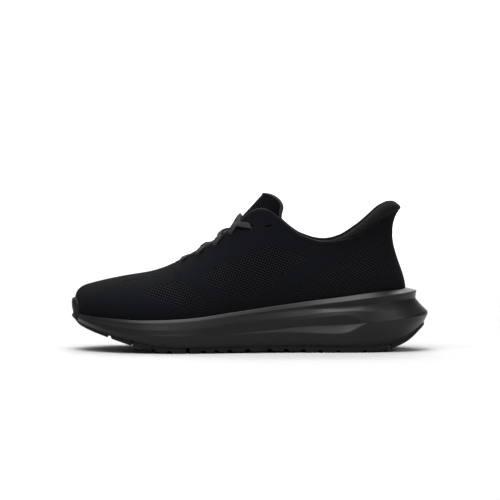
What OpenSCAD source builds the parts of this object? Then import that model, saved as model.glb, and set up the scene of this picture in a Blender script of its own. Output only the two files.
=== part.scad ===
// Low running shoe, left foot: a knitted one-piece upper with three laced-over
// rows each side, a padded flared heel collar, a sculpted foam midsole and a
// rubber outsole in pods. Millimetres, +Z up, toe towards -X, medial towards +Y.

/* [Size] */
// Overall length from toe bumper to heel flare
shoe_length = 308; // [290:1:325]
// Overall width across the ball of the foot
ball_width = 112; // [104:1:120]
// Height of the heel collar above the ground
collar_height = 124; // [116:1:132]

/* [Upper] */
// Thickness of the knitted upper
knit_t = 1.6; // [1.2:0.1:2]
// Thickness of the moulded heel counter
counter_t = 1.5; // [1:0.1:1.6]
// Thickness of the collar lining cloth
lining_t = 0.8; // [0.6:0.1:1]
// Width of the flat lace
lace_w = 5; // [4:0.5:6]
// Thickness of the flat lace
lace_t = 1.3; // [1:0.1:1.5]

/* [Tongue] */
// Thickness of the tongue's foam at its middle
tongue_foam_t = 3.6; // [2.5:0.1:4]
// Half width of the tongue at its top
tongue_half_w = 18; // [16:0.5:18.5]

/* [Sole] */
// Depth of the small tread notches
notch_depth = 2; // [1:0.1:2.5]
// Thickness of the sockliner foam
sock_foam_t = 4; // [3:0.5:5]
// Thickness of the rubber toe bumper
bumper_t = 2.6; // [2:0.1:3]

/* [Hidden] */

// The tables below are drawn at this length, width and height.
len_k = shoe_length / 308;
wid_k = ball_width / 112;
hgt_k = collar_height / 124;
glue_gap = 0.12;
layer_gap = 0.15;

// Each side runs from s = 0 at the back of the heel to s = 1 at the toe.
heel_x = 134 * len_k;
toe_x = -147.5 * len_k;
throat_s = 0.62;
// Half width of the upper at the feather line, outwards from the spine
half_lateral = [[0, 0], [.1, 20], [.2, 33], [.3, 38.5], [.4, 41], [.5, 47], [.6, 53], [.7, 52],
                [.8, 40.5], [.9, 22], [1, 0]];
half_medial = [[0, 0], [.1, 19.5], [.2, 32], [.3, 36], [.4, 37], [.5, 40.5], [.6, 48], [.7, 50],
               [.8, 42], [.9, 23.5], [1, 0]];
spine_y = [[0, 0], [.55, 0], [.7, 1], [.8, 2.5], [.9, 4.5], [1, 6]];
// Heights of the feather line, the footbed, the midsole's lower edge and the tread
feather_z = [[0, 53.1], [.1, 52.6], [.2, 51], [.3, 47], [.4, 41.9], [.5, 35.7], [.6, 29.7],
             [.7, 28], [.8, 29.2], [.9, 30.8], [1, 32]];
footbed_z = [[0, 30], [.2, 29.5], [.3, 28], [.4, 26], [.5, 23], [.6, 20], [.7, 19], [.8, 21.6],
             [.9, 25.4], [1, 28.4]];
base_z = [[0, 25], [.05, 22], [.1, 13.4], [.15, 7.8], [.2, 5.2], [.3, 4.7], [.4, 5.4], [.5, 5],
          [.6, 4.1], [.65, 4.6], [.7, 7.8], [.8, 16.4], [.9, 23.4], [1, 27.6]];
tread_z = [[0, 22], [.05, 18.6], [.1, 9.6], [.15, 3.8], [.2, .9], [.24, 0], [.32, 0], [.4, 1], [.5, 1.2],
           [.57, 0.3], [.6, 0], [.64, 0], [.7, 3.8], [.8, 13.4], [.9, 20.6], [1, 25.6]];
// The top line: the collar, the throat edge, then the ridge of the vamp
top_x = [[0, 128.6], [.05, 127.2], [.1, 122], [.15, 114.5], [.2, 105], [.25, 92.5], [.3, 78], [.35, 61],
         [.4, 43.5], [.43, 33], [.46, 22], [.48, 13], [.5, 4.5], [.52, -5.5], [.55, -24.3], [.58, -42],
         [.6, -55], [.612, -62], [.62, -67], [.66, -77], [.7, -86.5], [.8, -108], [.9, -126], [1, -139]];
top_y = [[0, 0], [.05, 9], [.1, 17], [.15, 22], [.2, 26], [.25, 29], [.3, 31], [.35, 31.3], [.4, 29],
         [.46, 24.5], [.5, 20.5], [.55, 15.5], [.58, 12.5], [.6, 9.5], [.612, 6], [.62, 0]];
top_z = [[0, 120.2], [.05, 119.7], [.1, 117.8], [.15, 113.8], [.2, 107.6], [.25, 100.2], [.3, 94.8],
         [.35, 93.6], [.4, 99], [.43, 106.4], [.46, 116.2], [.48, 120.6], [.5, 120], [.52, 113.4],
         [.55, 97.4], [.58, 86.2], [.6, 79.2], [.62, 73.8], [.66, 69.8], [.7, 67.2], [.8, 63.6],
         [.9, 59.8], [1, 56.4]];
// How each curtain of the upper leaves the feather line and meets the top line
low_out = [[0, 1.5], [.2, 2], [.4, 2.5], [.5, 3], [.7, 3.5], [.8, 4], [.9, 5], [1, 6]];
low_up = [[0, 16], [.2, 18], [.3, 16], [.4, 18], [.5, 24], [.6, 22], [.7, 20], [.8, 18], [1, 14]];
high_out = [[0, -16.5], [.1, -10], [.2, -3], [.3, 0], [.4, 4], [.5, 12], [.55, 15], [.6, 20], [.65, 24],
            [.7, 26], [.8, 20], [.9, 14.5], [1, 10.5]];
high_up = [[0, -23], [.2, -18], [.3, -15], [.4, -18], [.5, -26], [.55, -14], [.6, -6], [.62, 0], [1, 0]];
// Midsole side wall, from the top edge down: how far out of the feather line, and how high
ledge_out = [[0, 9.6], [.05, 9.3], [.1, 8], [.2, 5.5], [.3, 4.2], [.4, 3], [.5, 2.6], [.7, 2.8], [1, 2]];
ledge_z = [[0, 51.2], [.1, 49.9], [.2, 47], [.3, 42.9], [.4, 38.2], [.5, 33], [.6, 27.3], [.7, 25.6],
           [.8, 27.2], [.9, 29.7], [1, 31.3]];
groove_out = [[0, 8.6], [.05, 7.6], [.1, 5.2], [.2, 2.6], [.3, 2], [.4, 2.4], [.5, 2.9], [.7, 3.3], [1, 2.2]];
groove_z = [[0, 44.6], [.1, 43.4], [.2, 41.2], [.3, 38.6], [.4, 36.6], [.5, 31.4], [.6, 25.6], [.7, 24],
            [.8, 25.9], [.9, 29], [1, 30.9]];
shoulder_out = [[0, 13.4], [.1, 9.8], [.2, 6.6], [.3, 5.2], [.4, 4.4], [.5, 4.2], [.7, 4.8], [.9, 3.2],
                [1, 2.6]];
shoulder_z = [[0, 38.8], [.1, 37.6], [.2, 35.2], [.3, 35.2], [.4, 31], [.5, 26], [.6, 20.6], [.7, 20.2],
              [.8, 24], [.9, 28.3], [1, 30.5]];
rim_out = [[0, 19], [.1, 14.6], [.2, 9.4], [.28, 7], [.39, 5.2], [.486, 4.7], [.553, 4.9], [.6, 5.6],
           [.7, 5.6], [.8, 4.8], [.9, 3.4], [1, 2.9]];
rim_z = [[0, 33.5], [.1, 31], [.2, 27.4], [.235, 26.6], [.28, 32], [.34, 30.2], [.39, 28], [.46, 24.3],
         [.486, 21], [.52, 18.4], [.553, 16.6], [.6, 15.9], [.7, 16.4], [.76, 19], [.83, 23.8],
         [.9, 27.6], [1, 30]];
channel_out = [[0, 19.4], [.1, 15.2], [.2, 9.9], [.235, 8], [.28, 3.6], [.34, 2.8], [.39, 2.8], [.443, 3],
               [.486, 3.4], [.553, 4.4], [.6, 5.9], [.7, 5.9], [.8, 5], [.9, 3.6], [1, 3]];
channel_z = [[0, 31.3], [.1, 29.2], [.2, 26], [.235, 25.5], [.279, 24.1], [.39, 22.4], [.443, 19.8],
             [.486, 18.1], [.553, 15.7], [.6, 14.8], [.7, 15.3], [.76, 18], [.83, 22.9], [.9, 26.8],
             [1, 29.5]];
lower_out = [[0, 18.6], [.1, 14.4], [.2, 9.4], [.28, 7.8], [.33, 6.8], [.39, 5], [.43, 4.4], [.486, 4.2],
             [.553, 4.6], [.6, 5.6], [.7, 5.6], [.8, 4.8], [.9, 3.4], [1, 3]];
lower_z = [[0, 29.2], [.1, 27.2], [.2, 24.8], [.235, 24.4], [.285, 16.9], [.37, 16.9], [.43, 17.4],
           [.486, 16.6], [.553, 14.8], [.6, 13.8], [.7, 14.2], [.76, 16.9], [.83, 21.8], [.9, 25.6],
           [1, 28.8]];
base_out = [[0, 16.5], [.05, 15], [.1, 11.4], [.2, 6.8], [.3, 4.6], [.4, 2.6], [.5, 2.2], [.6, 3.6],
            [.7, 3.8], [.8, 3.4], [.9, 2.6], [1, 2.6]];
// The padded collar roll: its height above the seam, and its thickness
roll_h = [[0, 3.6], [.05, 4.8], [.1, 7.2], [.15, 8.8], [.2, 8.2], [.25, 6.2], [.3, 3.2], [.34, 1.6], [.45, 1.2]];
roll_t = [[0, 10], [.1, 10], [.2, 9], [.3, 7.5], [.4, 5], [.45, 3.8]];
// The tongue's middle line, from its stitched end to its top hem
tongue_x = [[0, -75], [.12, -64], [.25, -52], [.4, -36], [.6, -16], [.78, -1.5], [.9, 7], [.96, 10], [1, 11.3]];
tongue_z = [[0, 66], [.12, 71], [.25, 78.4], [.4, 89.8], [.6, 105.6], [.78, 120], [.9, 129.4], [.96, 132.6],
            [1, 134.6]];
tongue_w = [[0, 13], [.12, 14.5], [.4, 16.5], [.6, 17.5], [.78, 17.8], [.92, 18.4], [1, 18]];
tongue_arch = [[0, .02], [.25, .028], [.55, .036], [.7, .058], [.8, .076], [.9, .075], [1, .055]];
tongue_flex_u = 0.775;

// Eyelets: middle of each along the side, then its row of the curtain grid
eyelet_half = 0.0029;
low_eyelets = [.606, .584, .559, .537];
high_eyelets = [.507, .473];
eyelet_s = concat(low_eyelets, high_eyelets);
stations = concat(
  [0, .025, .05, .08, .11, .14, .17, .2, .235, .27, .305, .34, .375, .405, .43, .45],
  [.4701, .4759, .49, .5041, .5099, .522, .5341, .5399, .548, .5561, .5619, .5715, .5811, .5869, .595],
  [.6031, .6089, .6145, .62, .645, .67, .7, .73, .76, .79, .82, .85, .88, .91, .94, .97, 1]);
n_side = len(stations) - 1;
n_ring = 2 * n_side;
rows = [-.12, -.08, -.04, 0, .1, .22, .36, .5, .64, .76, .82, .865, .9, .94, 1];
n_rows = len(rows);
row_feather = 3;
row_high_eyelet = 10;
row_low_eyelet = 12;

// ---- Curves ----------------------------------------------------------------
function knot(tb, s, i = 0) = i >= len(tb) - 2 || s < tb[i + 1][0] ? i : knot(tb, s, i + 1);
function rate(tb, i, open) =
  let (last = len(tb) - 1, a = max(i - 1, 0), b = min(i + 1, last))
  (i == 0 || i == last) && !open ? 0 : (tb[b][1] - tb[a][1]) / (tb[b][0] - tb[a][0]);
// A smooth curve through a table's points; open leaves its ends free to slope
function curve(tb, s, open = false) =
  let (i = knot(tb, s), h = tb[i + 1][0] - tb[i][0], u = (s - tb[i][0]) / h)
  tb[i][1] * (2 * u^3 - 3 * u^2 + 1) + tb[i + 1][1] * (3 * u^2 - 2 * u^3)
  + rate(tb, i, open) * h * (u^3 - 2 * u^2 + u) + rate(tb, i + 1, open) * h * (u^3 - u^2);
function mix(a, b, t) = a + (b - a) * t;
function smooth(t) = let (c = max(0, min(1, t))) c * c * (3 - 2 * c);
function unit(v) = v / norm(v);
function flat(lists) = [for (l = lists) each l];

// ---- The upper's surface ---------------------------------------------------
// sigma runs right round: -1 at the toe, 0 at the heel, 1 at the toe again.
// The lateral side is negative, and the medial side positive.
function wrap(g) = g > 1 ? g - 2 : g < -1 ? g + 2 : g;
function side(g) = g < 0 ? -1 : 1;
function spine(s) = [heel_x + (toe_x - heel_x) * (1 - cos(180 * s)) / 2, curve(spine_y, s) * wid_k];
function outline(g0) =
  let (g = wrap(g0), s = abs(g), half = curve(g < 0 ? half_lateral : half_medial, s, true))
  spine(s) + [0, side(g) * half * wid_k];
function outward(g) =
  let (d = unit(outline(g + .004) - outline(g - .004))) [d[1], -d[0], 0];
function is_vamp(s) = s >= throat_s - 1e-6;
function ridge_point(s) = [curve(top_x, s) * len_k, curve(spine_y, s) * wid_k, curve(top_z, s) * hgt_k];
function top_line(g0) =
  let (g = wrap(g0), s = abs(g), half = is_vamp(s) ? 0 : curve(top_y, s, true))
  ridge_point(s) + [0, side(g) * half * wid_k, 0];
function ridge_slope(s) =
  let (a = ridge_point(min(s, .99) - .01), b = ridge_point(min(s, .99) + .01)) (b[2] - a[2]) / (b[0] - a[0]);
function feather(g) = let (p = outline(g)) [p[0], p[1], curve(feather_z, abs(wrap(g))) * hgt_k];
function bezier(a, b, c, d, t) = let (r = 1 - t) a * r^3 + b * 3 * r^2 * t + c * 3 * r * t^2 + d * t^3;
// t = -0.12 is the stitched bottom edge, 0 the feather line and 1 the top line
function skin(g, t) =
  let (s = abs(wrap(g)), out = outward(g), foot = feather(g))
  t < 0
    ? let (u = -t / .12) foot - out * 6 * u^2 + [0, 0, (curve(footbed_z, s) * hgt_k - foot[2]) * u]
    : let (top = top_line(g), reach = curve(high_out, s),
           rise = is_vamp(s) ? ridge_slope(s) * out[0] * reach : curve(high_up, s))
      bezier(foot, foot + out * curve(low_out, s) + [0, 0, curve(low_up, s)],
             top + out * reach + [0, 0, rise], top, t);
function skin_normal(g, t) =
  is_vamp(abs(wrap(g))) && t > .999
    ? let (s = min(abs(wrap(g)), .99), d = ridge_point(s + .01) - ridge_point(s - .01)) unit([d[2], 0, -d[0]])
    : let (e = .004, lo = max(t - .01, -.12), hi = min(t + .01, 1))
      unit(cross(skin(g + e, t) - skin(g - e, t), skin(g, hi) - skin(g, lo)));
function layer(g, t, depth) = skin(g, t) - skin_normal(g, t) * depth;

// Ring of stations: 0 is the heel, then the medial side, the toe and the lateral side
function sigma(j0) =
  let (j = (j0 + n_ring) % n_ring) j <= n_side ? stations[j] : -stations[n_ring - j];
function mirror_of(j) = (n_ring - j) % n_ring;
function cell_is_eyelet(j, k) =
  let (s = (abs(sigma(j)) + abs(sigma(j + 1))) / 2, e = [for (x = k == row_low_eyelet ? low_eyelets
       : k == row_high_eyelet ? high_eyelets : []) if (abs(s - x) < .001) x])
  len(e) > 0;

// A layer of the upper from ring station j0 to j1 and row k0 to k1, between two depths
module upper_layer(j0, j1, k0, k1, d0, d1, holes = true) {
  closed = j1 - j0 == n_ring;
  nj = closed ? n_ring : j1 - j0 + 1;
  nk = k1 - k0 + 1;
  top = k1 == n_rows - 1;
  function ridge(j) = top && is_vamp(abs(sigma(j0 + j)));
  // A ridge point of the lateral side is the medial side's own point
  function twin(j) =
    let (m = (2 * n_ring + mirror_of((j0 + j + n_ring) % n_ring) - j0) % n_ring) m < nj ? min(m, j) : j;
  function id(j, k, inner) =
    let (jj = j % nj, owner = k == nk - 1 && ridge(jj) ? twin(jj) : jj) (inner ? nj * nk : 0) + owner * nk + k;
  points = [for (d = [d0, d1]) for (j = [0:nj - 1]) for (k = [k0:k1]) layer(sigma(j0 + j), rows[k], d)];
  spans = closed ? nj - 1 : nj - 2;
  function hole(j, k) = holes && cell_is_eyelet(j0 + j, k0 + k);
  skins = [for (j = [0:spans]) for (k = [0:nk - 2]) each hole(j, k)
    ? [[id(j, k), id(j, k + 1), id(j, k + 1, true), id(j, k, true)],
       [id(j, k + 1), id(j + 1, k + 1), id(j + 1, k + 1, true), id(j, k + 1, true)],
       [id(j + 1, k + 1), id(j + 1, k), id(j + 1, k, true), id(j + 1, k + 1, true)],
       [id(j + 1, k), id(j, k), id(j, k, true), id(j + 1, k, true)]]
    : [[id(j, k), id(j, k + 1), id(j + 1, k + 1), id(j + 1, k)],
       [id(j, k, true), id(j + 1, k, true), id(j + 1, k + 1, true), id(j, k + 1, true)]]];
  rims = [for (j = [0:spans]) each concat(
    [[id(j, 0), id(j + 1, 0), id(j + 1, 0, true), id(j, 0, true)]],
    ridge(j) && ridge((j + 1) % nj) ? []
      : [[id(j + 1, nk - 1), id(j, nk - 1), id(j, nk - 1, true), id(j + 1, nk - 1, true)]])];
  ends = closed ? [] : [for (k = [0:nk - 2]) each [
    [id(0, k + 1), id(0, k), id(0, k, true), id(0, k + 1, true)],
    [id(nj - 1, k), id(nj - 1, k + 1), id(nj - 1, k + 1, true), id(nj - 1, k, true)]]];
  polyhedron(points, concat(skins, rims, ends));
}

// A solid through a list of closed sections with the same number of points each. Its ends are
// strips between the section's first half and its second, so a curved section is closed too.
module loft(sections) {
  n = len(sections[0]);
  m = len(sections);
  sides = [for (i = [0:m - 2]) for (a = [0:n - 1])
    let (b = (a + 1) % n) [(i + 1) * n + a, (i + 1) * n + b, i * n + b, i * n + a]];
  last = (m - 1) * n;
  caps = [for (a = [0:floor(n / 2) - 1]) let (b = a + 1, c = n - 2 - a, d = n - 1 - a)
    each b == c ? [[a, b, d], [last + d, last + b, last + a]]
      : b < c ? [[a, b, c, d], [last + d, last + c, last + b, last + a]] : []];
  polyhedron(flat(sections), concat(sides, caps));
}

// A solid round the whole foot from rings of points, closed by level caps at both ends
module ringed(rings) {
  r1 = len(rings) - 1;
  walls = [for (r = [0:r1 - 1]) for (j = [0:n_ring - 1])
    let (k = (j + 1) % n_ring)
    [r * n_ring + j, r * n_ring + k, (r + 1) * n_ring + k, (r + 1) * n_ring + j]];
  caps = [for (j = [0:n_side - 1])
    let (a = j, b = j + 1, c = mirror_of(j + 1), d = mirror_of(j), o = r1 * n_ring)
    each j == 0 ? [[b, a, c], [o + a, o + b, o + c]]
      : j == n_side - 1 ? [[b, a, d], [o + a, o + b, o + d]]
      : [[b, a, d, c], [o + a, o + b, o + c, o + d]]];
  polyhedron(flat(rings), concat(walls, caps));
}

// ---- Sole ------------------------------------------------------------------
function wall_point(g, out_tb, z_tb, proud = 0) =
  let (s = abs(wrap(g)), p = outline(g) , q = outward(g) * (curve(out_tb, s) * wid_k + proud))
  [p[0] + q[0], p[1] + q[1], curve(z_tb, s) * hgt_k];
function ring(fn_points) = [for (j = [0:n_ring - 1]) fn_points(sigma(j))];

module midsole() color("#29292b")
  ringed(concat(
    [for (t = [-.12, -.08, -.04, 0]) ring(function(g) layer(g, t, -layer_gap))],
    [ring(function(g) feather(g) + outward(g) * 1.1 + [0, 0, .1]),
     ring(function(g) wall_point(g, ledge_out, ledge_z)),
     ring(function(g) wall_point(g, groove_out, groove_z)),
     ring(function(g) wall_point(g, shoulder_out, shoulder_z)),
     ring(function(g) wall_point(g, rim_out, rim_z)),
     ring(function(g) wall_point(g, channel_out, channel_z)),
     ring(function(g) wall_point(g, lower_out, lower_z)),
     ring(function(g) wall_point(g, base_out, base_z))]));

// Across the sole at s, from the lateral edge (f = 0) to the medial edge (f = 1)
function sole_point(s, f, z) =
  let (a = wall_point(-s, base_out, base_z), b = wall_point(s, base_out, base_z), p = mix(a, b, f)) [p[0], p[1], z];
// A tread pod between two places along the sole, with notches across its tread
module pod(s0, s1, f0, f1, notches, plain = 3) {
  half = .0065;
  cut = [for (g = notches) each [[g - half, 0], [g - half / 2, 1], [g + half / 2, 1], [g + half, 0]]];
  ends = concat([s0], [for (g = notches) g], [s1]);
  between = [for (i = [0:len(ends) - 2]) for (k = [1:plain - 1])
    [mix(ends[i] + (i > 0 ? half : 0), ends[i + 1] - (i < len(ends) - 2 ? half : 0), k / plain), 0]];
  function merged(a, b, i = 0, j = 0) = i == len(a) && j == len(b) ? []
    : j == len(b) || (i < len(a) && a[i][0] < b[j][0]) ? concat([a[i]], merged(a, b, i + 1, j))
    : concat([b[j]], merged(a, b, i, j + 1));
  all = concat([[s0, 0]], merged(cut, between), [[s1, 0]]);
  loft([for (p = all) let (s = p[0], zt = curve(base_z, s) * hgt_k - glue_gap,
       zb = min(max(curve(tread_z, s), 0) * hgt_k + p[1] * notch_depth, zt - .8))
    [sole_point(s, f0, zt), sole_point(s, f1, zt), sole_point(s, f1, zb), sole_point(s, f0, zb)]]);
}
module rubber() color("#222222") children();
module outsole_forefoot_lateral() rubber() pod(.6085, .7245, 0, .46, [.643, .678]);
module outsole_forefoot_medial() rubber() pod(.6085, .7245, .54, 1, [.643, .678]);
rail_notches = [.236, .302, .343, .379, .414, .447, .489, .524, .549, .575];
module outsole_rail_lateral() rubber() pod(.1645, .6015, 0, .36, rail_notches, 2);
module outsole_rail_medial() rubber() pod(.1645, .6015, .64, 1, rail_notches, 2);
module outsole_heel() rubber() pod(.018, .16, 0, 1, [], 6);
module outsole_toe() rubber() pod(.7275, .985, 0, 1, [.787], 5);
// The bumper that wraps up over the front of the midsole and the toe of the upper
bumper_s = .935;
bumper_rows = [[.06, 1.6], [.15, 1.5], [.25, 1.4], [.34, 1]];
function bumper_swell(g) = let (r = (1 - abs(wrap(g))) / (1 - bumper_s)) sqrt(max(0, 1 - r^2));
module toe_bumper() {
  js = [for (j = [0:n_ring - 1]) if (abs(sigma(j)) > bumper_s) j];
  walls = [[base_out, base_z], [lower_out, lower_z], [channel_out, channel_z], [rim_out, rim_z],
           [shoulder_out, shoulder_z], [groove_out, groove_z], [ledge_out, ledge_z]];
  function face(g, proud) = concat(
    [for (w = walls) wall_point(g, w[0], w[1], proud)],
    [for (r = bumper_rows) layer(g, r[0], -max(proud * r[1], min(proud, .6)))]);
  rubber() loft([for (j = js)
    let (g = sigma(j), a = face(g, .6 + (bumper_t - .6) * bumper_swell(g)), b = face(g, .2), n = len(a))
    concat([for (i = [n - 1:-1:0]) a[i]], b)]);
}

// ---- Inside the shoe -------------------------------------------------------
// A flat plate over the footbed, drawn in from the feather outline
function plate_ring(inset, up) = ring(function(g)
  let (p = outline(g), q = outward(g) * inset, s = abs(wrap(g)))
  [p[0] - q[0], p[1] - q[1], curve(footbed_z, s) * hgt_k + up]);
strobel_t = 1.2;
sock_base = strobel_t + 2 * layer_gap;
cover_t = 0.7;
sock_inset = [[0, 10.2], [.25, 9.8], [.45, 8.6], [1, 8.2]];
function sock_ring(extra, up) = ring(function(g)
  let (p = outline(g), s = abs(wrap(g)), q = outward(g) * (curve(sock_inset, s) + extra))
  [p[0] - q[0], p[1] - q[1], curve(footbed_z, s) * hgt_k + up]);
module strobel_board() color("#4a4a4c") ringed([plate_ring(8.4, strobel_t), plate_ring(8.4, layer_gap / 2)]);
module sockliner_foam() color("#1d1d20")
  ringed([sock_ring(0, sock_base + sock_foam_t), sock_ring(1, sock_base)]);
module sockliner_cover() color("#161618")
  ringed([sock_ring(-.1, sock_base + sock_foam_t + layer_gap / 2 + cover_t),
          sock_ring(0, sock_base + sock_foam_t + layer_gap / 2)]);

// ---- Upper -----------------------------------------------------------------
module upper_knit() color("#14151a") upper_layer(0, n_ring, 0, n_rows - 1, 0, knit_t);
function station_at(s, i = 0) = stations[i] >= s - 1e-6 ? i : station_at(s, i + 1);
inner_face = knit_t + layer_gap;
module toe_puff() color("#303036")
  upper_layer(station_at(.85), n_ring - station_at(.85), 1, 7, inner_face, inner_face + .6, false);
module eyestay_tape(j0, j1) color("#0e0f12") upper_layer(j0, j1, 9, n_rows - 1, inner_face, inner_face + .5);
module eyestay_tape_medial() eyestay_tape(station_at(.45), station_at(.6145));
module eyestay_tape_lateral() eyestay_tape(n_ring - station_at(.6145), n_ring - station_at(.45));
counter_end = station_at(.235);
module heel_counter() color("#3a3a40")
  upper_layer(-counter_end, counter_end, 1, 7, inner_face, inner_face + counter_t, false);

// The collar pad's thickness at s, spread over the upper part of the curtain
foam_from = .58;
function pad_depth(s, t) = inner_face + layer_gap
  + max((curve(roll_t, s) - lining_t - inner_face - layer_gap) * smooth((t - foam_from) / (1 - foam_from)),
        t < .51 && s < .25 ? counter_t + layer_gap : 0);
function up_at(g) = unit(skin(g, 1) - skin(g, .97));
// A point of the roll above the seam: share of its height, and depth from the outer face
function roll_point(g, share, depth) =
  top_line(g) + up_at(g) * (curve(roll_h, abs(wrap(g))) * share + .12) - skin_normal(g, 1) * depth;
collar_js = let (e = station_at(.45)) [for (j = [-e:e]) j];
foam_rows = [.64, .76, .865, .94, 1];
module collar_foam() color("#55555c")
  loft([for (i = [len(collar_js) - 1:-1:0]) let (g = sigma(collar_js[i]), s = abs(g), t_roll = curve(roll_t, s),
        in0 = inner_face + layer_gap, gap = lining_t + layer_gap)
    concat([for (t = foam_rows) layer(g, t, in0)],
           [roll_point(g, .45, gap + .2), roll_point(g, .82, mix(gap, t_roll - gap, .3)),
            roll_point(g, .82, mix(gap, t_roll - gap, .75)), roll_point(g, .45, t_roll - gap)],
           [for (k = [len(foam_rows) - 1:-1:0])
             layer(g, foam_rows[k], max(in0 + .25, pad_depth(s, foam_rows[k]) - layer_gap))])]);
lining_rows = [-.08, -.04, 0, .1, .22, .36, .5, .64, .76, .865, .94, 1];
module collar_lining() color("#232320")
  loft([for (i = [len(collar_js) - 1:-1:0]) let (g = sigma(collar_js[i]), s = abs(g), t_roll = curve(roll_t, s),
        gap = lining_t)
    concat([for (t = lining_rows) layer(g, t, pad_depth(s, t))],
           [roll_point(g, .5, t_roll - gap), roll_point(g, .9, mix(gap, t_roll - gap, .78)),
            roll_point(g, .9, mix(gap, t_roll - gap, .25)), roll_point(g, .5, gap), roll_point(g, 0, .85)],
           [roll_point(g, 0, 0), roll_point(g, .45, -.5), roll_point(g, .9, t_roll * .12),
            roll_point(g, 1.02, t_roll * .5), roll_point(g, .9, t_roll * .9), roll_point(g, .45, t_roll)],
           [for (k = [len(lining_rows) - 1:-1:0])
             layer(g, lining_rows[k], pad_depth(s, lining_rows[k]) + lining_t)])]);

// A round-edged piping tape along the throat's top edge, from the lace rows to the collar
module edge_piping(js) color("#2b2b29")
  loft([for (j = js) let (g = sigma(j)) [for (p = [[.1, 0], [1, -.35], [1.5, .5], [1, 1.35], [.1, 1.2]])
    skin(g, 1) + up_at(g) * p[0] - skin_normal(g, 1) * p[1]]]);
piping_js = [for (j = [station_at(.4759):station_at(.6145)]) j];
module edge_piping_lateral() edge_piping([for (j = piping_js) mirror_of(j)]);
module edge_piping_medial() edge_piping([for (i = [len(piping_js) - 1:-1:0]) piping_js[i]]);

// Elastic gusset straps that hold the tongue down, inside the upper
module tongue_gusset_medial() color("#1b1b1e")
  upper_layer(station_at(.5341), station_at(.5811), 3, 8, inner_face + .2, inner_face + 1, false);
module tongue_gusset_lateral() color("#1b1b1e")
  upper_layer(n_ring - station_at(.5811), n_ring - station_at(.5341), 3, 8, inner_face + .2, inner_face + 1, false);

// ---- Tongue ----------------------------------------------------------------
function tongue_mid(u) = [curve(tongue_x, u, true) * len_k, 0, curve(tongue_z, u, true) * hgt_k];
function tongue_in(u) = let (d = unit(tongue_mid(min(u, .99) + .01) - tongue_mid(min(u, .99) - .01))) [d[2], 0, -d[0]];
// v runs across from -1 to 1; depth is measured from the outer face
function tongue_point(u, v, depth) =
  let (w = curve(tongue_w, u) * tongue_half_w / 18, y = w * v, q = tongue_in(u),
       dome = 10 * smooth((u - .8) / .2) * (v^2 - v^4))
  tongue_mid(u) + q * (curve(tongue_arch, u) * y^2 + depth) + [-q[2], 0, q[0]] * dome + [0, y, 0];
tongue_face_t = 1.2;
tongue_lining_t = .8;
function foam_depth(v) = tongue_foam_t * (1 - .8 * v^2);
tongue_vs = [-1, -.8, -.55, -.28, 0, .28, .55, .8, 1];
module tongue_slab(us, d0, d1) {
  n = len(tongue_vs);
  loft([for (i = [len(us) - 1:-1:0]) let (u = us[i]) concat(
    [for (k = [0:n - 1]) tongue_point(u, tongue_vs[k], d0(tongue_vs[k]))],
    [for (k = [n - 1:-1:0]) tongue_point(u, tongue_vs[k], d1(tongue_vs[k]))])]);
}
base_us = [0, .06, .12, .2, .3, .4, .5, .6, .68, tongue_flex_u - .012];
tip_us = [tongue_flex_u + .012, .82, .87, .92, .965, 1];
module face_layer(us) color("#17181d") tongue_slab(us, function(v) 0, function(v) tongue_face_t);
module foam_layer(us) color("#55555c")
  tongue_slab(us, function(v) tongue_face_t + .05, function(v) tongue_face_t + .05 + foam_depth(v));
module lining_layer(us) color("#232320")
  tongue_slab(us, function(v) tongue_face_t + .1 + foam_depth(v),
              function(v) tongue_face_t + .1 + tongue_lining_t + foam_depth(v));
module tongue_face() face_layer(base_us);
module tongue_foam() foam_layer(base_us);
module tongue_lining() lining_layer(base_us);
module tongue_tip_face() face_layer(tip_us);
module tongue_tip_foam() foam_layer(tip_us);
module tongue_tip_lining() lining_layer(tip_us);
// Binding tape folded over the tip's raw edge: up one side, over the hem and down the other
module tongue_binding() {
  side_us = [.84, .88, .92, .96, 1];
  full = tongue_face_t + .1 + tongue_lining_t;
  edge = concat([for (u = side_us) [u, -1]], [for (v = [-.7, -.35, 0, .35, .7]) [1, v]],
                [for (i = [len(side_us) - 1:-1:0]) [side_us[i], 1]]);
  function leave(u, v) = let (a = abs(v) > .99 ? [0, sign(v), 0] : [0, 0, 0],
    d = u > .99 ? cross([0, 1, 0], tongue_in(u)) : [0, 0, 0]) unit(a - d);
  color("#2b2b29")
  loft([for (e = edge) let (u = e[0], v = e[1], q = leave(u, v), th = full + foam_depth(v))
    [tongue_point(u, v, -.2) + q * .1, tongue_point(u, v, -.2) + q * 1.1,
     tongue_point(u, v, th + .2) + q * 1.1, tongue_point(u, v, th + .2) + q * .1]]);
}

// ---- Lace ------------------------------------------------------------------
// Each stop of the lace is a place, the way its flat faces, and its width
low_t = .92;
high_t = .8425;
function eyelet_t(i) = i < 4 ? low_t : high_t;
function through(g, t, depth) =
  [layer(g, t, depth), unit(skin(g, t - .04) - skin(g, t)), lace_w * .55];
function through_from_front(g, t, depth) =
  [layer(g, t, depth), unit(skin(g * .98, t) - skin(g, t)), lace_w * .55];
function on_skin(g, t, depth) = [layer(g, t, depth), skin_normal(g, t), lace_w];
function on_tongue(x, lift) =
  let (u = tongue_u(x)) [tongue_point(u, 0, -lift), -tongue_in(u), lace_w];
function tongue_u(x, lo = 0, hi = 1, n = 14) = n == 0 ? (lo + hi) / 2
  : let (m = (lo + hi) / 2) tongue_mid(m)[0] > x ? tongue_u(x, lo, m, n - 1) : tongue_u(x, m, hi, n - 1);
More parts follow.
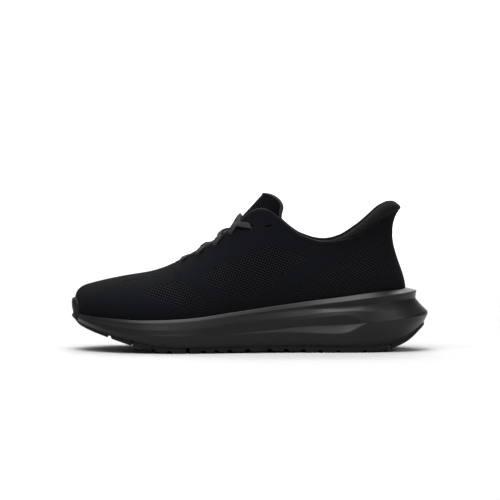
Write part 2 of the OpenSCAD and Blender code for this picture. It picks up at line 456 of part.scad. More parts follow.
// From out of eyelet i on one side to under the other side's edge and out of eyelet i + 1
function crossing(i, from_side, lift) =
  let (a = from_side * eyelet_s[i], b = -from_side * eyelet_s[i + 1], last = i == 3,
       ax = top_line(a)[0], bx = top_line(b)[0], lead = from_side * -.006)
  concat(
    [through(a, eyelet_t(i), knit_t / 2), on_skin(a, eyelet_t(i) + .02, -.95),
     on_skin(a + lead, .995, -1.1), on_tongue((ax + bx) / 2, lift)],
    last ? [on_skin(-from_side * .526, .97, -1.1), on_skin(-from_side * .513, .88, -.95),
            through_from_front(b, eyelet_t(i + 1), knit_t / 2),
            through_from_front(b, eyelet_t(i + 1), 3.4)]
         : [on_skin(b, .995, 3.6), on_skin(b, eyelet_t(i + 1) + .02, 3.4)]);
function reversed(a) = [for (i = [len(a) - 1:-1:0]) a[i]];
function chain(start_side, lift) =
  [for (i = [0:3]) each crossing(i, i % 2 == 0 ? start_side : -start_side, lift)];
function bar_end(g) = [on_skin(g, low_t, 3.4), on_skin(g, .995, 3.6)];
module lace() {
  e = eyelet_s[0];
  stops = concat(reversed(chain(1, 1)), bar_end(e), [on_tongue(top_line(e)[0], .9)], reversed(bar_end(-e)),
                 chain(-1, 2.6));
  n = len(stops);
  function way(i) = unit(stops[min(i + 1, n - 1)][0] - stops[max(i - 1, 0)][0]);
  color("#2e2e2c")
  loft([for (i = [0:n - 1]) let (p = stops[i][0], d = way(i), w = unit(cross(d, stops[i][1])) * stops[i][2] / 2,
        h = unit(cross(w, d)) * lace_t / 2) [p - w - h, p + w - h, p + w + h, p - w + h]]);
}

midsole();
outsole_toe();
toe_bumper();
outsole_forefoot_lateral();
outsole_forefoot_medial();
outsole_rail_lateral();
outsole_rail_medial();
outsole_heel();
upper_knit();
toe_puff();
eyestay_tape_lateral();
eyestay_tape_medial();
heel_counter();
collar_foam();
collar_lining();
edge_piping_lateral();
edge_piping_medial();
strobel_board();
sockliner_foam();
sockliner_cover();
tongue_face();
tongue_foam();
tongue_lining();
tongue_tip_face();
tongue_tip_foam();
tongue_tip_lining();
tongue_binding();
tongue_gusset_lateral();
tongue_gusset_medial();
lace();
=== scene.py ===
"""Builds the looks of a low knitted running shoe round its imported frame.

Every surface is worked out with numpy from the same curves as the solid parts. A place on the
upper is given by sigma and t: sigma runs right round the shoe, from -1 at the toe along the
lateral side to 0 at the heel and on along the medial side to 1 at the toe, and t runs up the
upper, from -0.12 at its stitched bottom edge through 0 at the feather line to 1 at its top line.
Lengths are in millimetres until a mesh is made, with the toe at -X, the medial side at +Y and
+Z up.
"""

import bmesh
import bpy
import numpy as np
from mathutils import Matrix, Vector


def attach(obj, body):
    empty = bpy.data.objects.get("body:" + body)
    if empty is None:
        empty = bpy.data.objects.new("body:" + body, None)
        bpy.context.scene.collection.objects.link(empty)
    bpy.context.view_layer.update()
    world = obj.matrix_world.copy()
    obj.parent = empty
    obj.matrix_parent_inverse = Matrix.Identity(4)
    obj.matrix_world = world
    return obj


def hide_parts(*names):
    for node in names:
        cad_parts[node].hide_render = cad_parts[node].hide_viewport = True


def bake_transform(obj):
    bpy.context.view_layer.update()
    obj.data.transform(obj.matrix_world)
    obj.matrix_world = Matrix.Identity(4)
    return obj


bl_info = {
    "name": "Knitted Running Shoe",
    "version": (1, 0, 0),
    "blender": (4, 5, 0),
    "location": "View3D > Sidebar > Running Shoe",
    "description": "Adds a knitted running shoe piece by piece, with its stage",
    "category": "Add Mesh",
}

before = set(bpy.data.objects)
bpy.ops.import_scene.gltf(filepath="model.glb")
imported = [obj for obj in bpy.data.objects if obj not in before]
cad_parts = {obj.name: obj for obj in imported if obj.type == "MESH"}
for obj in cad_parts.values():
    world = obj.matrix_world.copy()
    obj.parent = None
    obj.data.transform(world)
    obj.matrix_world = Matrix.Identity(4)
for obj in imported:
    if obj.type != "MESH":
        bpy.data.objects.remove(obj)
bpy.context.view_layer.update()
MM = 0.001

# ---- The shoe's curves: (place along the side, value), 0 at the heel and 1 at the toe ----
HEEL_X, TOE_X, THROAT = 134.0, -147.5, 0.62
HALF_LATERAL = [(0, 0), (.1, 20), (.2, 33), (.3, 38.5), (.4, 41), (.5, 47), (.6, 53), (.7, 52),
                (.8, 40.5), (.9, 22), (1, 0)]
HALF_MEDIAL = [(0, 0), (.1, 19.5), (.2, 32), (.3, 36), (.4, 37), (.5, 40.5), (.6, 48), (.7, 50),
               (.8, 42), (.9, 23.5), (1, 0)]
SPINE_Y = [(0, 0), (.55, 0), (.7, 1), (.8, 2.5), (.9, 4.5), (1, 6)]
FEATHER_Z = [(0, 53.1), (.1, 52.6), (.2, 51), (.3, 47), (.4, 41.9), (.5, 35.7), (.6, 29.7), (.7, 28),
             (.8, 29.2), (.9, 30.8), (1, 32)]
FOOTBED_Z = [(0, 30), (.2, 29.5), (.3, 28), (.4, 26), (.5, 23), (.6, 20), (.7, 19), (.8, 21.6),
             (.9, 25.4), (1, 28.4)]
BASE_Z = [(0, 25), (.05, 22), (.1, 13.4), (.15, 7.8), (.2, 5.2), (.3, 4.7), (.4, 5.4), (.5, 5),
          (.6, 4.1), (.65, 4.6), (.7, 7.8), (.8, 16.4), (.9, 23.4), (1, 27.6)]
TREAD_Z = [(0, 22), (.05, 18.6), (.1, 9.6), (.15, 3.8), (.2, .9), (.24, 0), (.32, 0), (.4, 1), (.5, 1.2),
           (.57, .3), (.6, 0), (.64, 0), (.7, 3.8), (.8, 13.4), (.9, 20.6), (1, 25.6)]
TOP_X = [(0, 128.6), (.05, 127.2), (.1, 122), (.15, 114.5), (.2, 105), (.25, 92.5), (.3, 78), (.35, 61),
         (.4, 43.5), (.43, 33), (.46, 22), (.48, 13), (.5, 4.5), (.52, -5.5), (.55, -24.3), (.58, -42),
         (.6, -55), (.612, -62), (.62, -67), (.66, -77), (.7, -86.5), (.8, -108), (.9, -126), (1, -139)]
TOP_Y = [(0, 0), (.05, 9), (.1, 17), (.15, 22), (.2, 26), (.25, 29), (.3, 31), (.35, 31.3), (.4, 29),
         (.46, 24.5), (.5, 20.5), (.55, 15.5), (.58, 12.5), (.6, 9.5), (.612, 6), (.62, 0)]
TOP_Z = [(0, 120.2), (.05, 119.7), (.1, 117.8), (.15, 113.8), (.2, 107.6), (.25, 100.2), (.3, 94.8),
         (.35, 93.6), (.4, 99), (.43, 106.4), (.46, 116.2), (.48, 120.6), (.5, 120), (.52, 113.4),
         (.55, 97.4), (.58, 86.2), (.6, 79.2), (.62, 73.8), (.66, 69.8), (.7, 67.2), (.8, 63.6),
         (.9, 59.8), (1, 56.4)]
LOW_OUT = [(0, 1.5), (.2, 2), (.4, 2.5), (.5, 3), (.7, 3.5), (.8, 4), (.9, 5), (1, 6)]
LOW_UP = [(0, 16), (.2, 18), (.3, 16), (.4, 18), (.5, 24), (.6, 22), (.7, 20), (.8, 18), (1, 14)]
HIGH_OUT = [(0, -16.5), (.1, -10), (.2, -3), (.3, 0), (.4, 4), (.5, 12), (.55, 15), (.6, 20), (.65, 24),
            (.7, 26), (.8, 20), (.9, 14.5), (1, 10.5)]
HIGH_UP = [(0, -23), (.2, -18), (.3, -15), (.4, -18), (.5, -26), (.55, -14), (.6, -6), (.62, 0), (1, 0)]
# The midsole's side wall, from its top edge down: (how far out of the feather line, how high)
LEDGE = ([(0, 9.6), (.05, 9.3), (.1, 8), (.2, 5.5), (.3, 4.2), (.4, 3), (.5, 2.6), (.7, 2.8), (1, 2)],
         [(0, 51.2), (.1, 49.9), (.2, 47), (.3, 42.9), (.4, 38.2), (.5, 33), (.6, 27.3), (.7, 25.6),
          (.8, 27.2), (.9, 29.7), (1, 31.3)])
GROOVE = ([(0, 8.6), (.05, 7.6), (.1, 5.2), (.2, 2.6), (.3, 2), (.4, 2.4), (.5, 2.9), (.7, 3.3), (1, 2.2)],
          [(0, 44.6), (.1, 43.4), (.2, 41.2), (.3, 38.6), (.4, 36.6), (.5, 31.4), (.6, 25.6), (.7, 24),
           (.8, 25.9), (.9, 29), (1, 30.9)])
SHOULDER = ([(0, 13.4), (.1, 9.8), (.2, 6.6), (.3, 5.2), (.4, 4.4), (.5, 4.2), (.7, 4.8), (.9, 3.2),
             (1, 2.6)],
            [(0, 38.8), (.1, 37.6), (.2, 35.2), (.3, 35.2), (.4, 31), (.5, 26), (.6, 20.6), (.7, 20.2),
             (.8, 24), (.9, 28.3), (1, 30.5)])
RIM = ([(0, 19), (.1, 14.6), (.2, 9.4), (.28, 7), (.39, 5.2), (.486, 4.7), (.553, 4.9), (.6, 5.6),
        (.7, 5.6), (.8, 4.8), (.9, 3.4), (1, 2.9)],
       [(0, 33.5), (.1, 31), (.2, 27.4), (.235, 26.6), (.28, 32), (.34, 30.2), (.39, 28), (.46, 24.3),
        (.486, 21), (.52, 18.4), (.553, 16.6), (.6, 15.9), (.7, 16.4), (.76, 19), (.83, 23.8), (.9, 27.6),
        (1, 30)])
CHANNEL = ([(0, 19.4), (.1, 15.2), (.2, 9.9), (.235, 8), (.28, 3.6), (.34, 2.8), (.39, 2.8), (.443, 3),
            (.486, 3.4), (.553, 4.4), (.6, 5.9), (.7, 5.9), (.8, 5), (.9, 3.6), (1, 3)],
           [(0, 31.3), (.1, 29.2), (.2, 26), (.235, 25.5), (.279, 24.1), (.39, 22.4), (.443, 19.8),
            (.486, 18.1), (.553, 15.7), (.6, 14.8), (.7, 15.3), (.76, 18), (.83, 22.9), (.9, 26.8),
            (1, 29.5)])
LOWER = ([(0, 18.6), (.1, 14.4), (.2, 9.4), (.28, 7.8), (.33, 6.8), (.39, 5), (.43, 4.4), (.486, 4.2),
          (.553, 4.6), (.6, 5.6), (.7, 5.6), (.8, 4.8), (.9, 3.4), (1, 3)],
         [(0, 29.2), (.1, 27.2), (.2, 24.8), (.235, 24.4), (.285, 16.9), (.37, 16.9), (.43, 17.4),
          (.486, 16.6), (.553, 14.8), (.6, 13.8), (.7, 14.2), (.76, 16.9), (.83, 21.8), (.9, 25.6),
          (1, 28.8)])
BASE = ([(0, 16.5), (.05, 15), (.1, 11.4), (.2, 6.8), (.3, 4.6), (.4, 2.6), (.5, 2.2), (.6, 3.6),
         (.7, 3.8), (.8, 3.4), (.9, 2.6), (1, 2.6)], BASE_Z)
WALL = (BASE, LOWER, CHANNEL, RIM, SHOULDER, GROOVE, LEDGE)
# The collar's roll: how high it stands over the top line, and how thick it is
ROLL_H = [(0, 3.6), (.05, 4.8), (.1, 7.2), (.15, 8.8), (.2, 8.2), (.25, 6.2), (.3, 3.2), (.34, 1.6),
          (.45, 1.2)]
ROLL_T = [(0, 10), (.1, 10), (.2, 9), (.3, 7.5), (.4, 5), (.45, 3.8)]
# The tongue, along its middle line from u = 0 down inside the shoe to u = 1 at its hem
TONGUE_X = [(0, -75), (.12, -64), (.25, -52), (.4, -36), (.6, -16), (.78, -1.5), (.9, 7), (.96, 10),
            (1, 11.3)]
TONGUE_Z = [(0, 66), (.12, 71), (.25, 78.4), (.4, 89.8), (.6, 105.6), (.78, 120), (.9, 129.4), (.96, 132.6),
            (1, 134.6)]
TONGUE_W = [(0, 13), (.12, 14.5), (.4, 16.5), (.6, 17.5), (.78, 17.8), (.92, 18.4), (1, 18)]
TONGUE_ARCH = [(0, .02), (.25, .028), (.55, .036), (.7, .058), (.8, .076), (.9, .075), (1, .055)]
SOCK_INSET = [(0, 10.2), (.25, 9.8), (.45, 8.6), (1, 8.2)]
BEND = 0.775  # u of the tongue's bend
FACE_T, TONGUE_FOAM_T, TONGUE_LINING_T, FILM = 1.2, 3.6, .8, .05
KNIT_T, LINING_T, COUNTER_T, GAP = 1.6, .8, 1.5, .15
INNER = KNIT_T + GAP  # depth below the skin of the first layer inside the knit
BOTTOM_T = -.12  # t of the knit's stitched bottom edge
COLLAR_S = .45  # s where the collar's padding ends
COUNTER_TOP, COUNTER_S = .58, .27  # t and s where the lining leaves the counter
THROAT_END = .6145  # s of the eyestay's front end, just short of the throat's
BUMPER_FROM, BUMPER_T = .935, 2.6  # s of the bumper's sides, and its full thickness
EYELET_HALF = .0029  # half an eyelet in s
HEEL_TURN = .2  # s where the mesh starts to follow the cloth round the heel
LOW_EYELETS, HIGH_EYELETS = (.606, .584, .559, .537), (.507, .473)
LOW_T, HIGH_T = .92, .8425  # t of the eyelets' centres
LOW_HALF, HIGH_HALF = .02, .0225  # half an eyelet in t
NOTCHES = (.236, .302, .343, .379, .414, .447, .489, .524, .549, .575)
NOTCH_HALF, NOTCH_DEPTH = .0065, 2
FLEX_GROOVES = (.605, .726)
PEBBLE_PATCH = 25.0  # size in mm of the slow mottling of moulded solids
# The open mesh windows and the row of holes over the toe: corners (x, z), then the way their rows
# run, in degrees
WINDOWS = [
    ([(-95, 52.5), (-77, 57), (-60, 61), (-49, 57), (-29, 42.7), (-33, 38.4), (-56, 39), (-77, 45)], -18),
    ([(-42, 65.4), (-24.5, 75.5), (9, 88.6), (20, 91), (49.5, 80), (30.5, 68), (7.5, 50), (-2, 44),
      (-17.6, 49), (-33, 58.5)], -21),
    ([(-108, 58.4), (-108, 60.1), (-78, 65.2), (-78, 63.5)], 9),
    ([(116, 99), (92.5, 87), (80, 79.5), (68, 72), (41, 55), (32, 46.4), (60, 49.5), (100, 55),
      (180, 57), (180, 99)], -28),
]


def cubic(a, b, slope_a, slope_b, u):
    """The cubic from a to b, as u goes from 0 to 1, with a given slope at each end."""
    return (a * (2 * u**3 - 3 * u**2 + 1) + b * (3 * u**2 - 2 * u**3)
            + slope_a * (u**3 - 2 * u**2 + u) + slope_b * (u**3 - u**2))


def curve(table, s, free=False):
    """A smooth curve through a table's points: a cubic between each two, whose slope at a point is
    that between its two neighbours, and level at the ends unless they are free."""
    x, y = np.array(table, float).T
    slope = np.empty_like(y)
    slope[1:-1] = (y[2:] - y[:-2]) / (x[2:] - x[:-2])
    slope[0] = (y[1] - y[0]) / (x[1] - x[0]) if free else 0
    slope[-1] = (y[-1] - y[-2]) / (x[-1] - x[-2]) if free else 0
    i = np.clip(np.searchsorted(x, s, side="right") - 1, 0, len(x) - 2)
    h = x[i + 1] - x[i]
    return cubic(y[i], y[i + 1], slope[i] * h, slope[i + 1] * h, (s - x[i]) / h)


def smooth(x):
    """Rises from 0 to 1 as x does, level at both ends."""
    x = np.clip(x, 0, 1)
    return x * x * (3 - 2 * x)


def unit(v):
    """Vectors scaled to length 1."""
    return v / np.maximum(np.linalg.norm(v, axis=-1, keepdims=True), 1e-12)


def vec(x, y, z):
    """Three arrays of coordinates joined into points."""
    return np.stack(np.broadcast_arrays(x, y, z), axis=-1).astype(float)


def wrap(g):
    """sigma brought back between -1 and 1."""
    return np.where(g > 1, g - 2, np.where(g < -1, g + 2, g))


def outline(g):
    """The feather line in plan: along the spine by a cosine of s, out by the side's half width."""
    g = wrap(g)
    s = np.abs(g)
    half = np.where(g < 0, curve(HALF_LATERAL, s, True), curve(HALF_MEDIAL, s, True))
    x = HEEL_X + (TOE_X - HEEL_X) * (1 - np.cos(np.pi * s)) / 2
    return vec(x, curve(SPINE_Y, s) + np.where(g < 0, -half, half), 0)


def outward(g):
    """The level direction straight out of the outline."""
    d = unit(outline(g + .004) - outline(g - .004))
    return vec(d[..., 1], -d[..., 0], 0)


def ridge(s):
    """The upper's middle line in side view: over the vamp, and along the throat and the collar."""
    return vec(curve(TOP_X, s), curve(SPINE_Y, s), curve(TOP_Z, s))


def ridge_step(s):
    """The way along the ridge, as a short step."""
    near = np.minimum(s, .99)
    return ridge(near + .01) - ridge(near - .01)


def on_vamp(s):
    """Whether a place lies in front of the throat, where the two sides meet along the ridge."""
    return s >= THROAT - 1e-6


def top_line(g):
    """The ridge moved out by the top's half width, which is 0 over the vamp."""
    g = wrap(g)
    s = np.abs(g)
    half = np.where(on_vamp(s), 0, curve(TOP_Y, np.minimum(s, THROAT), True))
    return ridge(s) + vec(0, np.where(g < 0, -half, half), 0)


def feather(g):
    """The line where the upper meets the midsole."""
    return outline(g) + vec(0, 0, curve(FEATHER_Z, np.abs(wrap(g))))


def skin(g, t):
    """The outer face of the upper. Above the feather line it is a cubic Bezier curve that leaves
    upwards and a little outwards, and meets the top line from the outside. Below the line it
    curls in towards the board."""
    g, t = np.broadcast_arrays(np.asarray(g, float), np.asarray(t, float))
    s = np.abs(wrap(g))
    out, foot, top, step = outward(g), feather(g), top_line(g), ridge_step(s)
    reach = curve(HIGH_OUT, s)
    rise = np.where(on_vamp(s), step[..., 2] / step[..., 0] * out[..., 0] * reach, curve(HIGH_UP, s))
    b = foot + out * curve(LOW_OUT, s)[..., None] + vec(0, 0, curve(LOW_UP, s))
    c = top + out * reach[..., None] + vec(0, 0, rise)
    w = np.clip(t, 0, 1)[..., None]
    wall = foot * (1 - w)**3 + b * 3 * w * (1 - w)**2 + c * 3 * w**2 * (1 - w) + top * w**3
    u = np.clip(t / BOTTOM_T, 0, None)[..., None]
    under = foot - out * 6 * u**2 + vec(0, 0, 1) * (curve(FOOTBED_Z, s) - foot[..., 2])[..., None] * u
    return np.where((t < 0)[..., None], under, wall)


def skin_normal(g, t):
    """The direction out of the skin, from small steps along both parameters."""
    g, t = np.broadcast_arrays(np.asarray(g, float), np.asarray(t, float))
    e = .004
    across = skin(g + e, t) - skin(g - e, t)
    up = skin(g, np.minimum(t + .01, 1)) - skin(g, np.maximum(t - .01, BOTTOM_T))
    s = np.abs(wrap(g))
    step = ridge_step(s)
    middle = unit(vec(step[..., 2], 0, -step[..., 0]))
    return np.where((on_vamp(s) & (t > .999))[..., None], middle, unit(np.cross(across, up)))


def layer(g, t, depth):
    """A place inside the upper, at a depth below its outer face."""
    return skin(g, t) - skin_normal(g, t) * np.asarray(depth, float)[..., None]


def wall_point(g, ring, proud=0.0):
    """A place on the midsole's side wall, on one of its rings."""
    s = np.abs(wrap(g))
    out = outward(g) * (curve(ring[0], s) + proud)[..., None]
    return outline(g) + out + vec(0, 0, curve(ring[1], s))


# ---- Meshes ----
def make_mesh(name, points, faces, uv=None, marks=None, sharp=None):
    """A mesh object from points in millimetres. Doubled points are merged, so that seams and
    poles close, and faces left without area are dropped."""
    mesh = bpy.data.meshes.new(name)
    mesh.from_pydata((points * MM).tolist(), [], faces.tolist())
    loops = np.empty(len(mesh.loops), np.int32)
    mesh.loops.foreach_get("vertex_index", loops)
    for layer_name, values in (uv or {}).items():
        mesh.uv_layers.new(name=layer_name).data.foreach_set("uv", values[loops].ravel())
    for mark, values in (marks or {}).items():
        mesh.attributes.new(mark, "FLOAT", "POINT").data.foreach_set("value", values)
    shape = bmesh.new()
    shape.from_mesh(mesh)
    bmesh.ops.remove_doubles(shape, verts=shape.verts, dist=2e-6)
    bmesh.ops.dissolve_degenerate(shape, edges=shape.edges, dist=1e-7)
    shape.to_mesh(mesh)
    shape.free()
    mesh.polygons.foreach_set("use_smooth", np.ones(len(mesh.polygons), bool))
    if sharp:
        mesh.set_sharp_from_angle(angle=np.radians(sharp))
    piece = bpy.data.objects.new(name, mesh)
    bpy.context.scene.collection.objects.link(piece)
    return piece


def quads(a, b, c, d):
    """Faces from four equal arrays of point numbers."""
    return np.stack([a.ravel(), b.ravel(), c.ravel(), d.ravel()], axis=1)


def grid_faces(nu, nv):
    """The faces of a grid of numbered points."""
    number = np.arange(nu * nv).reshape(nu, nv)
    return quads(number[:-1, :-1], number[1:, :-1], number[1:, 1:], number[:-1, 1:])


def shell(name, outer, inner, keep=None, closed=False, ridge_row=None, uv=None, marks=None, sharp=None):
    """A wall between two grids of points, with edges closed. Cells not kept are holes, and each
    gets walls. Along the ridge, where both sides meet, the wall goes on without an edge."""
    nu, nv = outer.shape[:2]
    keep = np.ones((nu - 1, nv - 1), bool) if keep is None else keep
    number = np.arange(nu * nv).reshape(nu, nv)
    a, b, c, d = number[:-1, :-1], number[1:, :-1], number[1:, 1:], number[:-1, 1:]
    deep = nu * nv
    faces = [quads(a[keep], b[keep], c[keep], d[keep]),
             quads(a[keep], d[keep], c[keep], b[keep]) + deep]
    wide = np.pad(keep, 1)
    if closed:
        wide[0, 1:-1], wide[-1, 1:-1] = keep[-1], keep[0]
    for p, q, beyond in ((a, b, wide[1:-1, :-2]), (b, c, wide[2:, 1:-1]), (c, d, wide[1:-1, 2:]),
                         (d, a, wide[:-2, 1:-1])):
        edge = keep & ~beyond
        if ridge_row is not None and p is c:
            edge[:, -1] &= ~ridge_row
        faces.append(quads(p[edge], p[edge] + deep, q[edge] + deep, q[edge]))
    points = np.concatenate([outer.reshape(-1, 3), inner.reshape(-1, 3)])
    twice = lambda v, n: np.concatenate([v.reshape(-1, n), v.reshape(-1, n)])
    uv = {k: twice(v, 2) for k, v in (uv or {}).items()}
    marks = {k: twice(v, 1).ravel() for k, v in (marks or {}).items()}
    return make_mesh(name, points, np.concatenate(faces), uv, marks, sharp)


def rounded(rows, radius, cuts=3):
    """A broken line of rows of points with its corners rounded: each inner row is replaced by a
    quadratic Bezier arc that starts and ends up to a radius away from it. A row just outside each
    end of the arc keeps the faces between the arcs flat."""
    parts = [rows[0]]
    for before, corner, after, r in zip(rows, rows[1:], rows[2:], radius):
        back, on = before - corner, after - corner
        long_back = np.linalg.norm(back, axis=-1, keepdims=True)
        long_on = np.linalg.norm(on, axis=-1, keepdims=True)
        near, far = (np.minimum(r / np.maximum(long, 1e-9), .42) for long in (long_back, long_on))
        p, q = corner + back * near, corner + on * far
        parts.append(corner + back * near * 1.15)
        parts += [p * (1 - u)**2 + corner * 2 * u * (1 - u) + q * u**2 for u in np.linspace(0, 1, cuts)]
        parts.append(corner + on * far * 1.15)
    return parts + [rows[-1]]


def tube(name, sections, uv=None, sharp=None):
    """A surface through closed sections (along, around), with its two ends capped by fans."""
    n, m = sections.shape[:2]
    number = np.arange(n * m).reshape(n, m)
    side = np.roll(number, -1, axis=1)
    first, last = np.full(m, n * m), np.full(m, n * m + 1)
    faces = np.concatenate([quads(number[:-1], number[1:], side[1:], side[:-1]),
                            quads(side[0], first, first, number[0]),
                            quads(number[-1], last, last, side[-1])])
    faces = np.array([tuple(dict.fromkeys(face)) for face in faces.tolist()], dtype=object)
    points = np.concatenate([sections.reshape(-1, 3), [sections[0].mean(0), sections[-1].mean(0)]])
    uv = {k: np.concatenate([v.reshape(-1, 2), np.zeros((2, 2))]) for k, v in (uv or {}).items()}
    return make_mesh(name, points, faces, uv, sharp=sharp)


def angles(count):
    """Evenly spaced angles right round a section."""
    return np.linspace(0, 2 * np.pi, count + 1)[:-1]


def band_map(along, around):
    """Flat coordinates for a section carried along a path."""
    return np.stack(np.broadcast_arrays(along, around), axis=-1)


def lengths(points, axis):
    """Running length along a grid of points, in millimetres."""
    step = np.linalg.norm(np.diff(points, axis=axis), axis=-1)
    return np.concatenate([np.zeros_like(np.take(step, [0], axis)), np.cumsum(step, axis)], axis)


def cloth_map(points):
    """Flat coordinates for cloth on a grid of points (along, up): the mean running length along,
    and each column's own length up."""
    along = lengths(points, 0)
    u = np.broadcast_to(np.median(along, axis=1, keepdims=True), along.shape)
    return np.stack([u, lengths(points, 1)], axis=-1)


def inside(corners, x, z):
    """Signed distance into a polygon: the least distance to its edges, positive inside."""
    p = np.stack([x, z], -1)
    best, odd = np.full(x.shape, 1e9), np.zeros(x.shape, bool)
    for a, b in zip(corners, corners[1:] + corners[:1]):
        a, b = np.array(a, float), np.array(b, float)
        along = np.clip(((p - a) @ (b - a)) / ((b - a) @ (b - a)), 0, 1)
        best = np.minimum(best, np.linalg.norm(p - a - along[..., None] * (b - a), axis=-1))
        crosses = (a[1] > z) != (b[1] > z)
        where = (b[0] - a[0]) * (z - a[1]) / ((b[1] - a[1]) or 1e-9) + a[0]
        odd ^= crosses & (x < where)
    return np.where(odd, best, -best)


# ---- Materials ----
def linear(hex_colour):
    """An sRGB hex colour as linear red, green, blue and alpha."""
    c = np.array([int(hex_colour[i:i + 2], 16) for i in (1, 3, 5)]) / 255
    return (*np.where(c <= .04045, c / 12.92, ((c + .055) / 1.055)**2.4).tolist(), 1.0)


def add(tree, kind, settings=None, links=None):
    """Adds a node, with settings by property or input name, and links by input name or number."""
    node = tree.nodes.new(kind)
    for key, value in (settings or {}).items():
        if isinstance(key, int) or key in node.inputs:
            node.inputs[key].default_value = value
        else:
            setattr(node, key, value)
    for key, socket in (links or {}).items():
        tree.links.new(socket, node.inputs[key])
    return node


def surface(name, roughness, specular=.5, sheen=0.0, sheen_rough=.5):
    """An empty material with its Principled shader and output."""
    made = bpy.data.materials.new(name)
    made.use_nodes = True
    tree = made.node_tree
    tree.nodes.clear()
    shader = add(tree, "ShaderNodeBsdfPrincipled", {
        "Roughness": roughness, "Specular IOR Level": specular, "Sheen Weight": sheen,
        "Sheen Roughness": sheen_rough})
    add(tree, "ShaderNodeOutputMaterial", links={"Surface": shader.outputs[0]})
    return made, tree, shader


def tone(tree, shader, dark, light, amount, bump_height=None, depth_mm=.2):
    """Colours a shader between two hex colours by an amount, and bumps it by a height in shares of
    a depth in millimetres."""
    mixed = add(tree, "ShaderNodeMix", {"data_type": "RGBA", 6: linear(dark), 7: linear(light)},
                {0: amount})
    mixed.clamp_factor = False
    tree.links.new(mixed.outputs[2], shader.inputs["Base Color"])
    if bump_height is not None:
        bump = add(tree, "ShaderNodeBump", {"Strength": 1.0, "Distance": depth_mm * MM},
                   {"Height": bump_height})
        tree.links.new(bump.outputs[0], shader.inputs["Normal"])


def knit_columns(tree, uv, wale, course):
    """The height of knitted loops: a sine across each wale, bent into a V along each course."""
    place = add(tree, "ShaderNodeSeparateXYZ", links={0: uv})
    zigzag = add(tree, "ShaderNodeMath", {"operation": "PINGPONG", 1: course / 2}, {0: place.outputs[1]})
    lean = add(tree, "ShaderNodeMath", {"operation": "MULTIPLY_ADD", 1: wale / course},
               {0: zigzag.outputs[0], 2: place.outputs[0]})
    turn = add(tree, "ShaderNodeMath", {"operation": "MULTIPLY", 1: 2 * np.pi / wale}, {0: lean.outputs[0]})
    wave = add(tree, "ShaderNodeMath", {"operation": "SINE"}, {0: turn.outputs[0]})
    height = add(tree, "ShaderNodeMapRange", {"From Min": -1.0, "From Max": 1.0}, {0: wave.outputs[0]})
    return height.outputs[0]


def pores(tree, lattice, edge0, edge1, low, high):
    """A height that dips to low at each whole place of a square lattice, and rises smoothly to high
    between two distances from it, in shares of the lattice's pitch."""
    spot = add(tree, "ShaderNodeTexVoronoi", {"voronoi_dimensions": "2D", "Scale": 1.0, "Randomness": 0.0},
               {"Vector": lattice})
    return add(tree, "ShaderNodeMapRange", {"interpolation_type": "SMOOTHSTEP", "From Min": edge0,
                                           "From Max": edge1, "To Min": low, "To Max": high},
               {0: spot.outputs["Distance"]}).outputs[0]


def flat_knit():
    """Flat-knitted polyester yarn: dull and near black, with a slanting lattice of 1.8 mm loops and small
    pores between them, and windows of open mesh with wider holes. The colour follows the bump's height, so
    the pores, the holes and the low places between the loops are painted shade in a near-black colour."""
    made, tree, shader = surface("flat-knitted polyester", .9, .02, .02, .4)
    colours = bpy.context.scene.shoe_colours
    cloth = add(tree, "ShaderNodeUVMap", {"uv_map": "Cloth"}).outputs[0]
    holes = add(tree, "ShaderNodeUVMap", {"uv_map": "Holes"}).outputs[0]
    slant = add(tree, "ShaderNodeMapping", {"Rotation": (0, 0, np.radians(28)), "Scale": (1 / 1.8,) * 3},
                {"Vector": cloth})
    window = add(tree, "ShaderNodeAttribute", {"attribute_name": "window"}).outputs["Fac"]
    knit = pores(tree, slant.outputs[0], .12, .5, .2, .68)
    net = pores(tree, holes, .39, .46, 0.0, 1.45)
    height = add(tree, "ShaderNodeMix", {"data_type": "FLOAT"}, {0: window, 2: knit, 3: net})
    fuzz = add(tree, "ShaderNodeTexNoise", {"Scale": .9, "Detail": 3.0, "Roughness": .7}, {"Vector": cloth})
    worn = add(tree, "ShaderNodeMapRange", {"To Min": .7, "To Max": 1.3}, {0: fuzz.outputs[0]})
    both = add(tree, "ShaderNodeMath", {"operation": "MULTIPLY"}, {0: worn.outputs[0], 1: height.outputs[0]})
    # Painted shade: the same height that bumps the knit darkens its colour, so the pores, the mesh holes and
    # the hollows get the painted shade colour
    tone(tree, shader, colours.knit_painted_shade, colours.knit, both.outputs[0], both.outputs[0], .38)
    return made


def ribbed_knit():
    """Ribbed knit of the tongue: soft ribs run down and back over the padding, 2 mm apart. The grooves
    between the ribs are painted shade: the colour darkens with the ribs' bump height.
    """
    made, tree, shader = surface("ribbed polyester knit", .88, .02, .02, .4)
    colours = bpy.context.scene.shoe_colours
    cloth = add(tree, "ShaderNodeUVMap", {"uv_map": "Cloth"}).outputs[0]
    ribs = add(tree, "ShaderNodeTexWave", {
        "wave_type": "BANDS", "bands_direction": "X", "Scale": .16, "Distortion": .3, "Detail": 1.0,
        "Detail Scale": 3.0}, {"Vector": cloth})
    # Painted shade in the grooves: the ribs' height also sets the colour
    tone(tree, shader, colours.knit_painted_shade, colours.knit, ribs.outputs["Fac"], ribs.outputs["Fac"], .45)
    return made


def brushed_lining():
    """Brushed tricot lining: a soft dark grey nap with hardly any gloss. Its colour follows the bump's
    height: the nap's random tone is real, and the darker hollows between the loops are painted shade.
    """
    made, tree, shader = surface("brushed tricot lining", .92, .02, .03, .5)
    colours = bpy.context.scene.shoe_colours
    cloth = add(tree, "ShaderNodeUVMap", {"uv_map": "Cloth"}).outputs[0]
    loops = knit_columns(tree, cloth, 1.5, 1.4)
    nap = add(tree, "ShaderNodeTexNoise", {"Scale": .7, "Detail": 4.0, "Roughness": .7}, {"Vector": cloth})
    both = add(tree, "ShaderNodeMath", {"operation": "MULTIPLY_ADD", 1: .5}, {0: loops, 2: nap.outputs[0]})
    # Painted shade in the hollows of the loops, over the nap's random tone: the colour follows the bump
    tone(tree, shader, colours.lining_painted_shade, colours.lining, both.outputs[0], both.outputs[0], .22)
    return made


